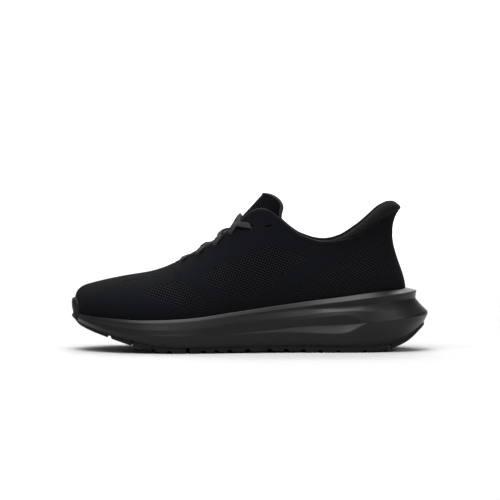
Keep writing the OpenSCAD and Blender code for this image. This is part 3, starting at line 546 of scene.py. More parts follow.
def woven(name, dark, light, pitch, depth, roughness=.8):
    """Woven polyester tape: herringbone picks across a flat braid, at a pitch in millimetres. Its colour
    follows the bump's height, so the hollows between the picks are painted shade in the dark colour, over a
    little random fuzz tone.
    """
    made, tree, shader = surface(name, roughness, .05, .02, .4)
    cloth = add(tree, "ShaderNodeUVMap", {"uv_map": "Cloth"}).outputs[0]
    picks = knit_columns(tree, cloth, pitch, pitch * 2)
    fuzz = add(tree, "ShaderNodeTexNoise", {"Scale": 1.5, "Detail": 3.0}, {"Vector": cloth})
    both = add(tree, "ShaderNodeMath", {"operation": "MULTIPLY_ADD", 1: .3}, {0: fuzz.outputs[0], 2: picks})
    # Painted shade: the dark colour goes into the hollows between the picks, where shade falls
    tone(tree, shader, dark, light, both.outputs[0], both.outputs[0], depth)
    return made


def mottled(name, dark, light, grain, roughness, specular, depth):
    """A moulded or felted solid: fine grain over slow mottling, both sized in millimetres."""
    made, tree, shader = surface(name, roughness, specular)
    place = add(tree, "ShaderNodeTexCoord").outputs["Object"]
    slow = add(tree, "ShaderNodeTexNoise", {"Scale": 1 / (PEBBLE_PATCH * MM), "Detail": 3.0},
               {"Vector": place})
    fine = add(tree, "ShaderNodeTexNoise", {"Scale": 1 / (grain * MM), "Detail": 2.0, "Roughness": .6},
               {"Vector": place})
    both = add(tree, "ShaderNodeMath", {"operation": "MULTIPLY_ADD", 1: .4},
               {0: fine.outputs[0], 2: slow.outputs[0]})
    shade = add(tree, "ShaderNodeMapRange", {"From Min": .45, "From Max": .95}, {0: both.outputs[0]})
    tone(tree, shader, dark, light, shade.outputs[0], fine.outputs[0], depth)
    return made


def midsole_foam():
    """Moulded EVA foam with a satin skin: smooth facets, a faint pebble and slow mottling."""
    colours = bpy.context.scene.shoe_colours
    return mottled("moulded EVA foam", colours.foam_deep, colours.foam, 1.2, .36, .2, .04)


def tread_rubber():
    """Moulded carbon rubber: matte, a little darker than the foam, with a fine grain."""
    colours = bpy.context.scene.shoe_colours
    return mottled("moulded carbon rubber", colours.rubber_deep, colours.rubber, .8, .6, .1, .05)


# ---- Sizes and colours that a user would change ----
def metres(name, description, default, low, high):
    """A length setting, in metres."""
    return bpy.props.FloatProperty(name=name, description=description, default=default, min=low, max=high,
                                   unit="LENGTH", precision=4)


def srgb(name, description, default):
    """A colour setting, as an sRGB hex value."""
    return bpy.props.StringProperty(name=name, description=description, default=default)


class ShoeSizes(bpy.types.PropertyGroup):
    """Sizes of the shoe's details"""
    hole_pitch: metres("Mesh pitch", "Distance between the holes of the open mesh windows",
                       .0021, .0015, .004)
    lace_width: metres("Lace width", "Width of the flat lace", .005, .004, .006)
    lace_thickness: metres("Lace thickness", "Thickness of the flat lace", .0013, .001, .0016)
    stitch_length: metres("Stitch length", "Length of one stitch of the visible seams", .0022, .0015, .004)
    view_height: bpy.props.FloatProperty(
        name="View height", description="Angle of the camera above the ground", default=np.radians(2.5),
        min=0, max=.6, subtype="ANGLE")


class ShoeColours(bpy.types.PropertyGroup):
    """Colours of the shoe, as sRGB hex values"""
    knit: srgb("Knit", "Raised yarn of the knit", "#18191d")
    # Painted shade: the colour of the knit's hollows, pores and mesh holes, standing for the shade down in
    # them, not for a darker yarn
    knit_painted_shade: srgb("Knit shade", "Yarn down between the knit's loops", "#020203")
    lining: srgb("Lining", "Nap of the collar lining", "#1c1b1d")
    # Painted shade: the colour of the lining's hollows, laid partly over the nap's random tone
    lining_painted_shade: srgb("Lining shade", "Depth of the lining's nap", "#0a0a09")
    trim: srgb("Trim", "Lace, piping and binding", "#38383a")
    # Painted shade: the colour of the hollows in the weave of the lace, piping and binding
    trim_painted_shade: srgb("Trim shade", "Depth of the trim's weave", "#1a1a1b")
    foam: srgb("Foam", "Skin of the midsole foam", "#1d1d1f")
    foam_deep: srgb("Foam shade", "Darker mottling of the foam", "#19191b")
    rubber: srgb("Rubber", "Rubber of the tread", "#1c1c1d")
    rubber_deep: srgb("Rubber shade", "Darker mottling of the rubber", "#141415")


# ---- The upper ----
def eyelets():
    """Each eyelet of one side, from the toe up: s and t of its centre, and half its height in t."""
    return [(s, LOW_T, LOW_HALF) for s in LOW_EYELETS] + [(s, HIGH_T, HIGH_HALF) for s in HIGH_EYELETS]


def ring(count):
    """sigma at evenly spaced places right round the shoe, with more at the eyelets."""
    base = np.linspace(-1, 1, count)
    near = np.array([s + a * EYELET_HALF for s, _, _ in eyelets() for a in (-2, -1, -.5, 0, .5, 1, 2)])
    clear = np.all(np.abs(np.abs(base)[:, None] - near) > EYELET_HALF * .45, axis=1)
    return np.sort(np.concatenate([base[clear], near, -near]))


def slit_last_eyelet(s, t):
    """Draws the last eyelet's disc out into a slanting slit, 2.2 times as long and 0.35 times as
    high. The move fades out by 6 times the eyelet's size."""
    centre_s, centre_t, half = eyelets()[-1]
    a, b = (s - centre_s) / EYELET_HALF, (t - centre_t) / half
    m = np.maximum(np.maximum(np.abs(a), np.abs(b)), 1)
    w = smooth((6 - m) / 5) / m
    return s + EYELET_HALF * 1.2 * a * w, t - half * (.65 * b + .9 * a) * w


def round_the_eyelets(g, t):
    """Moves grid lines so that each square of cells at an eyelet becomes a disc: a point of the
    square's edge is drawn in by sqrt(1 - b^2 / 2), and the move fades out by twice its size."""
    s = np.abs(g)
    new_s, new_t = s.copy(), t.copy()
    for centre_s, centre_t, half in eyelets():
        a, b = (s - centre_s) / EYELET_HALF, (t - centre_t) / half
        m = np.maximum(np.abs(a), np.abs(b))
        w = smooth(2 - m)
        size = np.maximum(m, 1)
        new_s += EYELET_HALF * w * a * (np.sqrt(1 - (b / size)**2 / 2) - 1)
        new_t += half * w * b * (np.sqrt(1 - (a / size)**2 / 2) - 1)
    new_s, new_t = slit_last_eyelet(new_s, new_t)
    return np.where(g < 0, -new_s, new_s), new_t


def mesh_windows(points, g):
    """How much each place is open mesh, from 0 to 1, and its coordinates on the square lattice of
    holes: each window's (x, z) turned to its rows, in steps of the pitch. Round the heel, x grows
    instead by the cloth's length from the place where s is HEEL_TURN."""
    x, z = points[..., 0], points[..., 2]
    length = lengths(points, 0)
    first, last = np.searchsorted(g[:, 0], (-HEEL_TURN, HEEL_TURN))
    near, far = length[first] + x[first], length[last] - x[last]
    middle = (near + far) / 2
    along = np.where(length < middle, length - length[first] + x[first], length[last] - length + x[last])
    x = np.where(np.abs(g) < HEEL_TURN, along, x)
    pitch = bpy.context.scene.shoe_sizes.hole_pitch / MM
    amount, lattice = np.zeros(x.shape), np.zeros(x.shape + (2,))
    for corners, degrees in WINDOWS:
        a = np.radians(degrees)
        depth = inside(corners, x, z)
        there = depth > -4
        u, v = x * np.cos(a) + z * np.sin(a), z * np.cos(a) - x * np.sin(a)
        lattice[there] = (np.stack([u, v], -1) / pitch)[there]
        amount = np.maximum(amount, smooth(depth / 1.2 + .5))
    return amount, lattice


def knitted_upper():
    """The one-piece knit: the skin and a face one knit's thickness inside it, with the eyelets
    left out and the mesh windows sunk a little."""
    s = ring(469)
    t = np.concatenate([np.linspace(BOTTOM_T, 0, 6)[:-1], np.linspace(0, .8, 56)[:-1],
                        [.797, .82, .831, .8425, .854, .865, .877, .888, .9, .91, .92, .93, .94, .955, .97,
                         .985, 1]])
    g0, t0 = np.meshgrid(s, np.unique(t), indexing="ij")
    g, t = round_the_eyelets(g0, t0)
    flat = layer(g, t, 0 * t)
    window, lattice = mesh_windows(flat, g)
    window *= smooth((t - .01) / .03) * smooth((.99 - t) / .04)
    outer = layer(g, t, .25 * window)
    inner = layer(g, t, 0 * t + KNIT_T)
    middle = lambda v: (v[:-1, :-1] + v[1:, 1:]) / 2
    keep = np.ones(middle(g0).shape, bool)
    for centre_s, centre_t, half in eyelets():
        keep &= ((np.abs(np.abs(middle(g0)) - centre_s) > EYELET_HALF)
                 | (np.abs(middle(t0) - centre_t) > half))
    return shell("knitted_upper", outer, inner, keep, closed=True,
                 ridge_row=on_vamp(np.minimum(np.abs(s[:-1]), np.abs(s[1:]))),
                 uv={"Cloth": cloth_map(flat), "Holes": lattice}, marks={"window": window})


def patch(name, s0, s1, t0, t1, d0, d1, cells=(60, 24)):
    """A layer of the upper between two depths, from s0 to s1 round the shoe."""
    g, t = np.meshgrid(np.linspace(s0, s1, cells[0]), np.linspace(t0, t1, cells[1]), indexing="ij")
    outer = layer(g, t, 0 * t + d0)
    return shell(name, outer, layer(g, t, 0 * t + d1), uv={"Cloth": cloth_map(outer)}, sharp=50)


def finish(piece, material, slot, body, *nodes):
    """Gives a piece its material, hangs it on its body, and hides the parts of the frame that it stands for.
    """
    piece.data.materials.append(material)
    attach(piece, body)
    if nodes:
        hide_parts(*nodes)
    return piece


# ---- The collar ----
def up_at(g):
    """The direction up along the skin at its top line."""
    return unit(skin(g, 1) - skin(g, .97))


def roll_point(g, share, depth):
    """A place on the collar's roll, above the seam by a share of its height."""
    lift = curve(ROLL_H, np.abs(g)) * share + .12
    depth = np.broadcast_to(depth, g.shape)
    return top_line(g) + up_at(g) * lift[:, None] - skin_normal(g, 1) * depth[:, None]


def pad_depth(s, t):
    """Depth of the lining below the skin: over the counter low down, and over the collar's foam,
    which grows from nothing towards the top line."""
    foam = (curve(ROLL_T, s) - LINING_T - INNER - GAP) * smooth((t - COUNTER_TOP) / (1 - COUNTER_TOP))
    counter = (COUNTER_T + GAP) * smooth((COUNTER_TOP - t) / .06) * smooth((COUNTER_S - s) / .03)
    return INNER + GAP + np.maximum(foam, counter)


def collar_lining():
    """The lining cloth, from the board up the padding and over the roll to the seam."""
    g = np.linspace(-COLLAR_S, COLLAR_S, 241)
    s = np.abs(g)
    rows = np.concatenate([np.linspace(-.08, 0, 3), np.linspace(.06, 1, 22)])
    out_wall, in_wall = ([layer(g, np.full(g.shape, t), pad_depth(s, t) + more) for t in rows]
                         for more in (0, LINING_T))
    roll = curve(ROLL_T, s)
    room = roll - 2 * LINING_T
    under = [roll_point(g, .5, roll - LINING_T), roll_point(g, .9, LINING_T + room * .78),
             roll_point(g, .9, LINING_T + room * .25), roll_point(g, .5, LINING_T), roll_point(g, 0, .85)]
    over = [roll_point(g, 0, 0), roll_point(g, .45, -.5), roll_point(g, .9, roll * .12),
            roll_point(g, 1.02, roll * .5), roll_point(g, .9, roll * .9), roll_point(g, .45, roll)]
    under = rounded([out_wall[-1]] + under, [2, 2, 2, 2], 4)[1:]
    over = rounded(over + [in_wall[-1]], [1.5, 2.5, 3, 2.5, 3], 5)[:-1]
    sections = np.stack(out_wall + under + over + in_wall[::-1], axis=1)
    cloth = band_map(lengths(top_line(g)[:, None], 0), lengths(sections, 1))
    return tube("collar_lining_cloth", sections[::-1], uv={"Cloth": cloth[::-1]})


def collar_foam():
    """The padding between the knit and the lining, and inside the roll."""
    rows = np.linspace(.62, 1, 9)
    g = np.linspace(-COLLAR_S, COLLAR_S, 121)
    s = np.abs(g)
    gap = LINING_T + GAP
    roll = curve(ROLL_T, s)
    room = roll - 2 * gap
    out_wall = [layer(g, np.full(g.shape, t), 0 * g + INNER + GAP) for t in rows]
    in_wall = [layer(g, np.full(g.shape, t), np.maximum(INNER + 2 * GAP + .1, pad_depth(s, t) - GAP))
               for t in rows[::-1]]
    top = [roll_point(g, .45, gap + .3), roll_point(g, .8, gap + room * .3),
           roll_point(g, .8, gap + room * .75), roll_point(g, .45, roll - gap)]
    return tube("collar_padding", np.stack(out_wall + top + in_wall, axis=1)[::-1])


def edge_cord(name, g, size=1.0):
    """The corded edge of the throat or collar: a round-cornered section carried along the top line,
    drawn down to a size given all along or at each place."""
    size = np.broadcast_to(size, g.shape)[:, None, None]
    angle = angles(12)
    up, out = up_at(g)[:, None], skin_normal(g, 1)[:, None]
    high, deep = .75 + .7 * np.sin(angle), .5 + .95 * np.cos(angle)
    sections = skin(g, 1)[:, None] + (up * high[None, :, None] - out * deep[None, :, None]) * size
    return tube(name, sections, uv={"Cloth": band_map(lengths(sections, 0)[:, :1], angle * .8)})


# ---- The sole ----
def solid_of_rows(name, rows, cloth=False):
    """A closed solid from rows of points right round the shoe, from the middle of its underside
    out, up and back in to the middle of its top. A piece of cloth is mapped by its plan."""
    grid = np.stack(rows, axis=1)
    maps = {"Cloth": grid[..., :2].reshape(-1, 2)} if cloth else None
    return make_mesh(name, grid.reshape(-1, 3), grid_faces(*grid.shape[:2]), maps)


def inwards(edge, shares):
    """Rows between the shoe's middle line, at share 0, and an edge row, at share 1."""
    middle = (edge + edge[::-1]) / 2
    return [middle + (edge - middle) * f for f in shares]


def midsole():
    """The foam midsole: its side wall's rings joined with small rounded edges, the cup's wall
    against the knit, and a tread side raised at the two flex grooves."""
    g = np.linspace(-1, 1, 601)
    s = np.abs(g)
    wall = [wall_point(g, r) for r in WALL]
    lip = feather(g) + outward(g) * 1.1 + [0, 0, .1]
    cup = [layer(g, np.full(g.shape, t), 0 * g - GAP) for t in (0, -.04, -.08, BOTTOM_T)]
    rows = rounded(wall + [lip] + cup, [.8, .6, .4, .6, .9, .5, .5, .4, .3, .5, .5], 4)
    below = inwards(rows[0], (0, .3, .6, .85))
    above = inwards(rows[-1], (.85, .6, .3, 0))
    for groove in FLEX_GROOVES:
        lift = .8 * np.exp(-((s - groove) / .004)**4)
        for row in below + rows[:1]:
            row[:, 2] += lift
    return solid_of_rows("moulded_midsole", below + rows + above)


def across_sole(s, f):
    """A place across the sole: from the lateral edge at share 0 to the medial edge at share 1."""
    a, b = wall_point(-s, BASE), wall_point(s, BASE)
    return a + (b - a) * f[..., None]


def pod(name, s0, s1, f0, f1, notches, lanes=()):
    """A tread pod: level with the midsole's base above, and below on the tread's curve, with a V
    notch right across at each place and a groove along each lane."""
    extra = np.array([c + NOTCH_HALF * d for c in notches for d in (-1, -.5, 0, .5, 1)])
    s = np.unique(np.concatenate([np.linspace(s0, s1, max(12, int((s1 - s0) * 300))), extra]))
    f = np.linspace(f0, f1, 33)
    ss, ff = np.meshgrid(s, f, indexing="ij")
    cut = sum((smooth((NOTCH_HALF - np.abs(ss - c)) / .004) for c in notches), np.zeros(ss.shape))
    lane = sum((smooth((.03 - np.abs(ff - c)) / .012) for c in lanes), np.zeros(ss.shape))
    roof = curve(BASE_Z, ss) - .12
    depth = NOTCH_DEPTH * np.maximum(cut, .8 * lane)
    tread = np.minimum(np.maximum(curve(TREAD_Z, ss), 0) + depth, roof - .8)
    plan = across_sole(ss, ff)
    low = vec(plan[..., 0], plan[..., 1], tread)
    high = vec(plan[..., 0], plan[..., 1], roof)
    lift = np.array([0, 0, .35])
    sections = np.concatenate([high[:, :1], low[:, :1] + lift, low[:, 1:-1], low[:, -1:] + lift,
                               high[:, -1:]], 1)
    return tube(name, sections[:, ::-1], sharp=35)


def toe_bumper():
    """The rubber wrapped over the toe: it follows the midsole's wall and the knit. Its thickness
    and its reach up the knit both fall away from the middle as the edge of an ellipse does."""
    g = np.concatenate([np.linspace(BUMPER_FROM, 1, 40), np.linspace(-1, -BUMPER_FROM, 40)[1:]])
    away = (1 - np.abs(g)) / (1 - BUMPER_FROM)
    reach = .25 + .75 * np.sqrt(np.maximum(1 - away**3, 0))
    swell = .5 + (BUMPER_T - .5) * np.sqrt(np.maximum(1 - away**2, 0))
    rows = [lambda p, r=r: wall_point(g, r, p) for r in WALL]
    rows += [lambda p, t=t: layer(g, t * reach, -p) for t in (.05, .1, .15, .2, .25, .3, .33, .35, .36)]
    height = [.8] + [1] * 6 + [1.6, 1.5, 1.4, 1.3, 1.2, 1.05, .9, .6, .25]
    outer = np.stack([row(np.maximum(swell * h, .35)) for row, h in zip(rows, height)], 1)
    inner = np.stack([row(0 * g + .2) for row in rows], 1)
    return shell("toe_bumper_rubber", outer, inner, sharp=60)


def plate(name, inset, up, thick):
    """A plate over the footbed, drawn in from the outline, with rounded edges."""
    g = np.linspace(-1, 1, 301)
    s = np.abs(g)
    def edge(extra, height):
        inward = -outward(g) * (inset(s) + extra)[:, None]
        return outline(g) + inward + vec(0, 0, curve(FOOTBED_Z, s) + up + height)
    r = min(.5, thick * .4)
    rim = [edge(1.0, 0), edge(.4, 0), edge(.1, r), edge(0, thick - r), edge(.3, thick), edge(1.2, thick)]
    below, above = inwards(rim[0], (0, .25, .5, .75)), inwards(rim[-1], (.97, .9, .75, .5, .25, 0))
    return solid_of_rows(name, below + rim + above, cloth=True)


# ---- The tongue ----
def tongue_place(u, v, depth):
    """A place on the tongue: along its middle line by u, across by v, arched back by the square
    of the distance from the middle, and into the shoe by a depth. The hem is domed on each side."""
    middle = lambda u: vec(curve(TONGUE_X, u, True), 0, curve(TONGUE_Z, u, True))
    near = np.minimum(u, .99)
    step = unit(middle(near + .01) - middle(near - .01))
    into = vec(step[..., 2], 0, -step[..., 0])
    y = curve(TONGUE_W, u) * v
    dome = 10 * smooth((u - .8) / .2) * (v**2 - v**4)
    return (middle(u) + into * (curve(TONGUE_ARCH, u) * y**2 + depth)[..., None] + step * dome[..., None]
            + vec(0, y, 0))


def foam_depth(v):
    """Thickness of the tongue's foam: full in the middle and thin at the sides."""
    return TONGUE_FOAM_T * (1 - .8 * v**2)


def tongue_layer(name, d0, d1):
    """A layer of the tongue between two depths, each a function of v. Its cloth map turns the cloth
    35 degrees away from the middle line on each side."""
    u, v = np.meshgrid(np.linspace(0, 1, 110), np.linspace(-1, 1, 41), indexing="ij")
    outer, inner = tongue_place(u, v, d0(v)), tongue_place(u, v, d1(v))
    flat = cloth_map(outer)
    turn = np.radians(35)
    run, y = flat[..., 0], np.abs(outer[..., 1])
    ribs = np.stack([run * np.cos(turn) + y * np.sin(turn), y * np.cos(turn) - run * np.sin(turn)], -1)
    return shell(name, inner[:, ::-1], outer[:, ::-1], uv={"Cloth": ribs[:, ::-1]}, sharp=60)


def tongue_binding():
    """Tape folded over the raw edge of the tip: a flat oval section carried up one side, over
    the hem and down the other."""
    side = np.linspace(.82, .985, 22)
    u = np.concatenate([side, np.full(45, 1.0), side[::-1]])
    v = np.concatenate([np.full(22, -1.0), np.linspace(-.985, .985, 45), np.full(22, 1.0)])
    angle = angles(16)
    thick = FACE_T + TONGUE_LINING_T + 2 * FILM + foam_depth(v)
    centre = tongue_place(u, v, thick / 2)
    into = unit(tongue_place(u, v, thick) - centre)
    along = unit(np.gradient(centre, axis=0))
    out = unit(np.cross(along, into))
    high, wide = np.cos(angle)[None] * (thick / 2 + .35)[:, None], np.sin(angle) + .2
    sections = centre[:, None] + into[:, None] * high[..., None] + out[:, None] * wide[None, :, None]
    return tube("tongue_binding_tape", sections, uv={"Cloth": band_map(lengths(centre[:, None], 0), angle)})


# ---- The lace ----
def lace_stops():
    """The lace's stops, listed one by one, from one top eyelet round to the other: each has its place, the
    way its flat face looks, and its share of the full width."""
    holes = eyelets()
    at = lambda g, t, d: layer(np.array(g), np.array(t), np.array(d))
    def in_eyelet(g, t, d):
        return at(g, t, d), unit(skin(g, t - .04) - skin(g, t)), .75
    def in_from_front(g, t, d):
        return at(g, t, d), unit(skin(g * .98, t) - skin(g, t)), .6
    def on_skin(g, t, d):
        return at(g, t, d), skin_normal(g, t), 1.0
    def on_tongue(x, lift):
        share = np.linspace(0, 1, 400)
        u = np.array(np.interp(x, curve(TONGUE_X, share, True), share))
        over, face, under = (tongue_place(u, 0 * u, 0 * u + depth) for depth in (-lift, 0, 1))
        return over, unit(face - under), 1.0
    def crossing(i, side, lift):
        (a, ta, _), (b, tb, _) = holes[i], holes[i + 1]
        a, b = side * a, -side * b
        halfway = (float(top_line(a)[..., 0]) + float(top_line(b)[..., 0])) / 2
        stops = [in_eyelet(a, ta, .8), on_skin(a, ta + .02, -.95), on_skin(a - side * .006, .995, -1.1),
                 on_tongue(halfway, lift)]
        if i < 3:
            return stops + [on_skin(b, .995, 3.6), on_skin(b, tb + .02, 3.4)]
        return stops + [on_skin(-side * .526, .97, -1.1), on_skin(-side * .513, .88, -.95),
                        in_from_front(b, tb, .8), in_from_front(b, tb, 3.4)]
    def chain(side, lift):
        return [stop for i in range(4) for stop in crossing(i, side if i % 2 == 0 else -side, lift)]
    first = holes[0][0]
    bar = lambda g: [on_skin(g, LOW_T, 3.4), on_skin(g, .995, 3.6)]
    return (chain(1, 1.0)[::-1] + bar(first) + [on_tongue(float(top_line(first)[..., 0]), .9)]
            + bar(-first)[::-1] + chain(-1, 2.6))


def flat_lace():
    """The flat braid: a rounded oblong section carried along a Catmull-Rom curve through the
    stops, whose slopes are kept under 1.2 times the step, with its flat face turned smoothly from
    stop to stop."""
    sizes = bpy.context.scene.shoe_sizes
    stops = lace_stops()
    p = np.array([np.ravel(stop[0]) for stop in stops])
    face = np.array([np.ravel(stop[1]) for stop in stops])
    width = np.array([stop[2] for stop in stops])
    k = np.arange(len(stops))
    u = np.linspace(0, k[-1], k[-1] * 8 + 1)
    i = np.minimum(u.astype(int), k[-1] - 1)
    w = (u - i)[:, None]
    before, after = np.maximum(i - 1, 0), np.minimum(i + 2, k[-1])
    m0, m1 = (p[i + 1] - p[before]) / 2, (p[after] - p[i]) / 2
    step = np.linalg.norm(p[i + 1] - p[i], axis=1, keepdims=True)
    for m in (m0, m1):
        m *= np.minimum(1, 1.2 * step / np.maximum(np.linalg.norm(m, axis=1, keepdims=True), 1e-9))
    path = cubic(p[i], p[i + 1], m0, m1, w)
    turned = unit(face[i] * (1 - smooth(w)) + face[i + 1] * smooth(w))
    share = width[i] * (1 - smooth(w[:, 0])) + width[i + 1] * smooth(w[:, 0])
    wide = share * sizes.lace_width / MM / 2
    along = unit(np.gradient(path, axis=0))
    across = unit(np.cross(along, turned))
    up = unit(np.cross(across, along))
    angle = angles(18)
    flat = np.sign(np.cos(angle)) * np.abs(np.cos(angle))**.55
    high = np.sign(np.sin(angle)) * np.abs(np.sin(angle))**.8 * sizes.lace_thickness / MM / 2
    sections = (path[:, None] + across[:, None] * (wide[:, None] * flat[None])[..., None]
                + up[:, None] * high[None, :, None])
    cloth = band_map(lengths(path[:, None], 0), flat * 2.5)
    return tube("flat_elastic_lace", sections[:, ::-1], uv={"Cloth": cloth[:, ::-1]})


# ---- Stitching ----
def stitches(name, path, lift, radius=.22, gap=.5):
    """A row of lockstitches: each is a small bowed capsule along the path, pressed in at its ends."""
    length = bpy.context.scene.shoe_sizes.stitch_length / MM
    run = lengths(path[:, None], 0)[:, 0]
    starts = np.arange(0, run[-1] - length, length + gap)
    share = np.linspace(0, 1, 7)
    at = starts[:, None] + share * length
    centre = np.stack([np.interp(at, run, path[:, k]) for k in range(3)], -1)
    up = unit(np.stack([np.interp(at, run, lift[:, k]) for k in range(3)], -1))
    along = unit(np.gradient(centre, axis=1))
    across = unit(np.cross(along, up))
    bow = np.sin(np.pi * share)
    angle = angles(6)
    thick = radius * (.35 + .65 * np.sqrt(bow))
    sections = (centre[:, :, None] + up[:, :, None] * (bow * .25 - .1)[None, :, None, None]
                + across[:, :, None] * (thick[:, None] * np.cos(angle))[None, ..., None]
                + up[:, :, None] * (thick[:, None] * np.sin(angle))[None, ..., None])
    n, m, k = sections.shape[:3]
    number = np.arange(n * m * k).reshape(n, m, k)
    side = np.roll(number, -1, axis=2)
    faces = quads(number[:, :-1], number[:, 1:], side[:, 1:], side[:, :-1]).tolist()
    faces += number[:, 0].tolist() + number[:, -1, ::-1].tolist()
    return make_mesh(name, sections.reshape(-1, 3), np.array([tuple(f) for f in faces], dtype=object))


# ---- Operators ----
class Build(bpy.types.Operator):
    """What every step shares: it runs its build, and an error in it stops the script"""
    bl_options = {"REGISTER", "UNDO"}

    def execute(self, context):
        """Builds the pieces of this step"""
        self.build(context.scene.shoe_colours)
        return {"FINISHED"}


class AddUpper(Build):
    """Adds the knitted upper, with its eyelets and mesh windows"""
    bl_idname = "running_shoe.upper"
    bl_label = "Knitted Upper"

    def build(self, colours):
        finish(knitted_upper(), flat_knit(), "knit", "shoe", "upper_knit")


class AddInnerLayers(Build):
    """Adds the stiffeners, tapes, straps and board inside the upper"""
    bl_idname = "running_shoe.inner_layers"
    bl_label = "Inner Layers"

    def build(self, colours):
        sheet = mottled("thermoplastic stiffener sheet", "#2a2a2e", "#3c3c42", .8, .6, .4, .05)
        # The first colour of each woven cloth is painted shade in the hollows of its weave
        tape = woven("woven reinforcing tape", "#0b0b0d", "#202024", 1.2, .15)
        elastic = woven("knitted elastic", "#0d0d0f", "#26262a", 1.6, .25)
        board = mottled("needled felt board", "#38383a", "#5c5c5e", .9, .95, .2, .3)
        front = patch("toe_stiffener", .85, 1.15, 0, .5, INNER, INNER + .6)
        finish(front, sheet, "stiffener", "shoe", "toe_puff")
        back = patch("heel_stiffener", -.235, .235, 0, .5, INNER, INNER + COUNTER_T, (121, 24))
        finish(back, sheet, "stiffener", "shoe", "heel_counter")
        for side, way in (("lateral", -1), ("medial", 1)):
            ends = sorted((way * COLLAR_S, way * THROAT_END))
            piece = patch(f"eyelet_tape_{side}", *ends, .76, 1, INNER, INNER + .5, (81, 16))
            finish(piece, tape, "tape", "shoe", f"eyestay_tape_{side}")
            ends = sorted((way * .5341, way * .5811))
            piece = patch(f"gusset_strap_{side}", *ends, 0, .64, INNER + .2, INNER + 1)
            finish(piece, elastic, "elastic", "shoe", f"tongue_gusset_{side}")
        base = plate("felt_board", lambda s: 8.4 + 0 * s, .07, 1.13)
        finish(base, board, "board", "shoe", "strobel_board")


class AddCollar(Build):
    """Adds the padded collar: its foam and its rolled lining"""
    bl_idname = "running_shoe.collar"
    bl_label = "Padded Collar"

    def build(self, colours):
        foam = mottled("open-cell polyurethane foam", "#4c4c52", "#707078", .7, .9, .2, .2)
        finish(collar_foam(), foam, "padding", "shoe", "collar_foam")
        lining = finish(collar_lining(), brushed_lining(), "lining", "shoe", "collar_lining")


class AddMidsole(Build):
    """Adds the moulded foam midsole"""
    bl_idname = "running_shoe.midsole"
    bl_label = "Midsole"

    def build(self, colours):
        finish(midsole(), midsole_foam(), "midsole_foam", "shoe", "midsole")


class AddOutsole(Build):
    """Adds the rubber pods of the tread and the toe bumper"""
    bl_idname = "running_shoe.outsole"
    bl_label = "Outsole"

    def build(self, colours):
        rubber = tread_rubber()
        pods = [("outsole_toe", .7275, .985, 0, 1, (.787,), (.34, .66)),
                ("outsole_forefoot_lateral", .6085, .7245, 0, .46, (.643, .678), (.23,)),
                ("outsole_forefoot_medial", .6085, .7245, .54, 1, (.643, .678), (.77,)),
                ("outsole_rail_lateral", .1645, .6015, 0, .36, NOTCHES, (.18,)),
                ("outsole_rail_medial", .1645, .6015, .64, 1, NOTCHES, (.82,)),
                ("outsole_heel", .018, .16, 0, 1, (), ())]
        for node, *shape in pods:
            finish(pod(node + "_tread", *shape), rubber, "outsole_rubber", "shoe", node)
        finish(toe_bumper(), rubber, "outsole_rubber", "shoe", "toe_bumper")


class AddSockliner(Build):
    """Adds the sockliner's foam and its cover cloth"""
    bl_idname = "running_shoe.sockliner"
    bl_label = "Sockliner"

    def build(self, colours):
        foam = mottled("moulded sockliner foam", "#1a1a1d", "#26262a", 1.0, .8, .3, .1)
        # The cover cloth's first colour is painted shade in the hollows of its weave
        cloth = woven("sockliner cover cloth", "#0f0f11", "#26272b", 1.6, .15, .9)
        pad = plate("sockliner_pad", lambda s: curve(SOCK_INSET, s), 1.5, 4)
        finish(pad, foam, "sock_foam", "sockliner", "sockliner_foam")
        cover = plate("sockliner_cloth", lambda s: curve(SOCK_INSET, s) - .1, 5.575, .7)
        finish(cover, cloth, "sock_cloth", "sockliner", "sockliner_cover")


class AddTongue(Build):
    """Adds the padded tongue: its ribbed face, foam, lining and edge binding"""
    bl_idname = "running_shoe.tongue"
    bl_label = "Tongue"

    def build(self, colours):
        foam = mottled("soft tongue foam", "#4c4c52", "#707078", .7, .9, .2, .2)
        top = FACE_T + FILM
        layers = [
            ("tongue_ribbed_face", lambda v: 0 * v, lambda v: FACE_T + 0 * v, ribbed_knit(), "knit_rib",
             ("tongue_face", "tongue_tip_face")),
            ("tongue_padding", lambda v: top + 0 * v, lambda v: top + foam_depth(v), foam, "padding",
             ("tongue_foam", "tongue_tip_foam")),
            ("tongue_back_lining", lambda v: top + FILM + foam_depth(v),
             lambda v: top + FILM + TONGUE_LINING_T + foam_depth(v), brushed_lining(), "lining",
             ("tongue_lining", "tongue_tip_lining"))]
        start, end = (tuple(np.ravel(tongue_place(np.array(u), np.array(0.), np.array(2.))) * MM)
                      for u in (BEND - .05, BEND + .03))
        for name, d0, d1, cloth, slot, nodes in layers:
            piece = tongue_layer(name, d0, d1)
            piece.data.materials.append(cloth)
            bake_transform(piece)
            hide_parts(*nodes)
        binding = woven("folded binding tape", colours.trim_painted_shade, colours.trim, 1.4, .15)
        finish(tongue_binding(), binding, "piping", "tongue_tip", "tongue_binding")


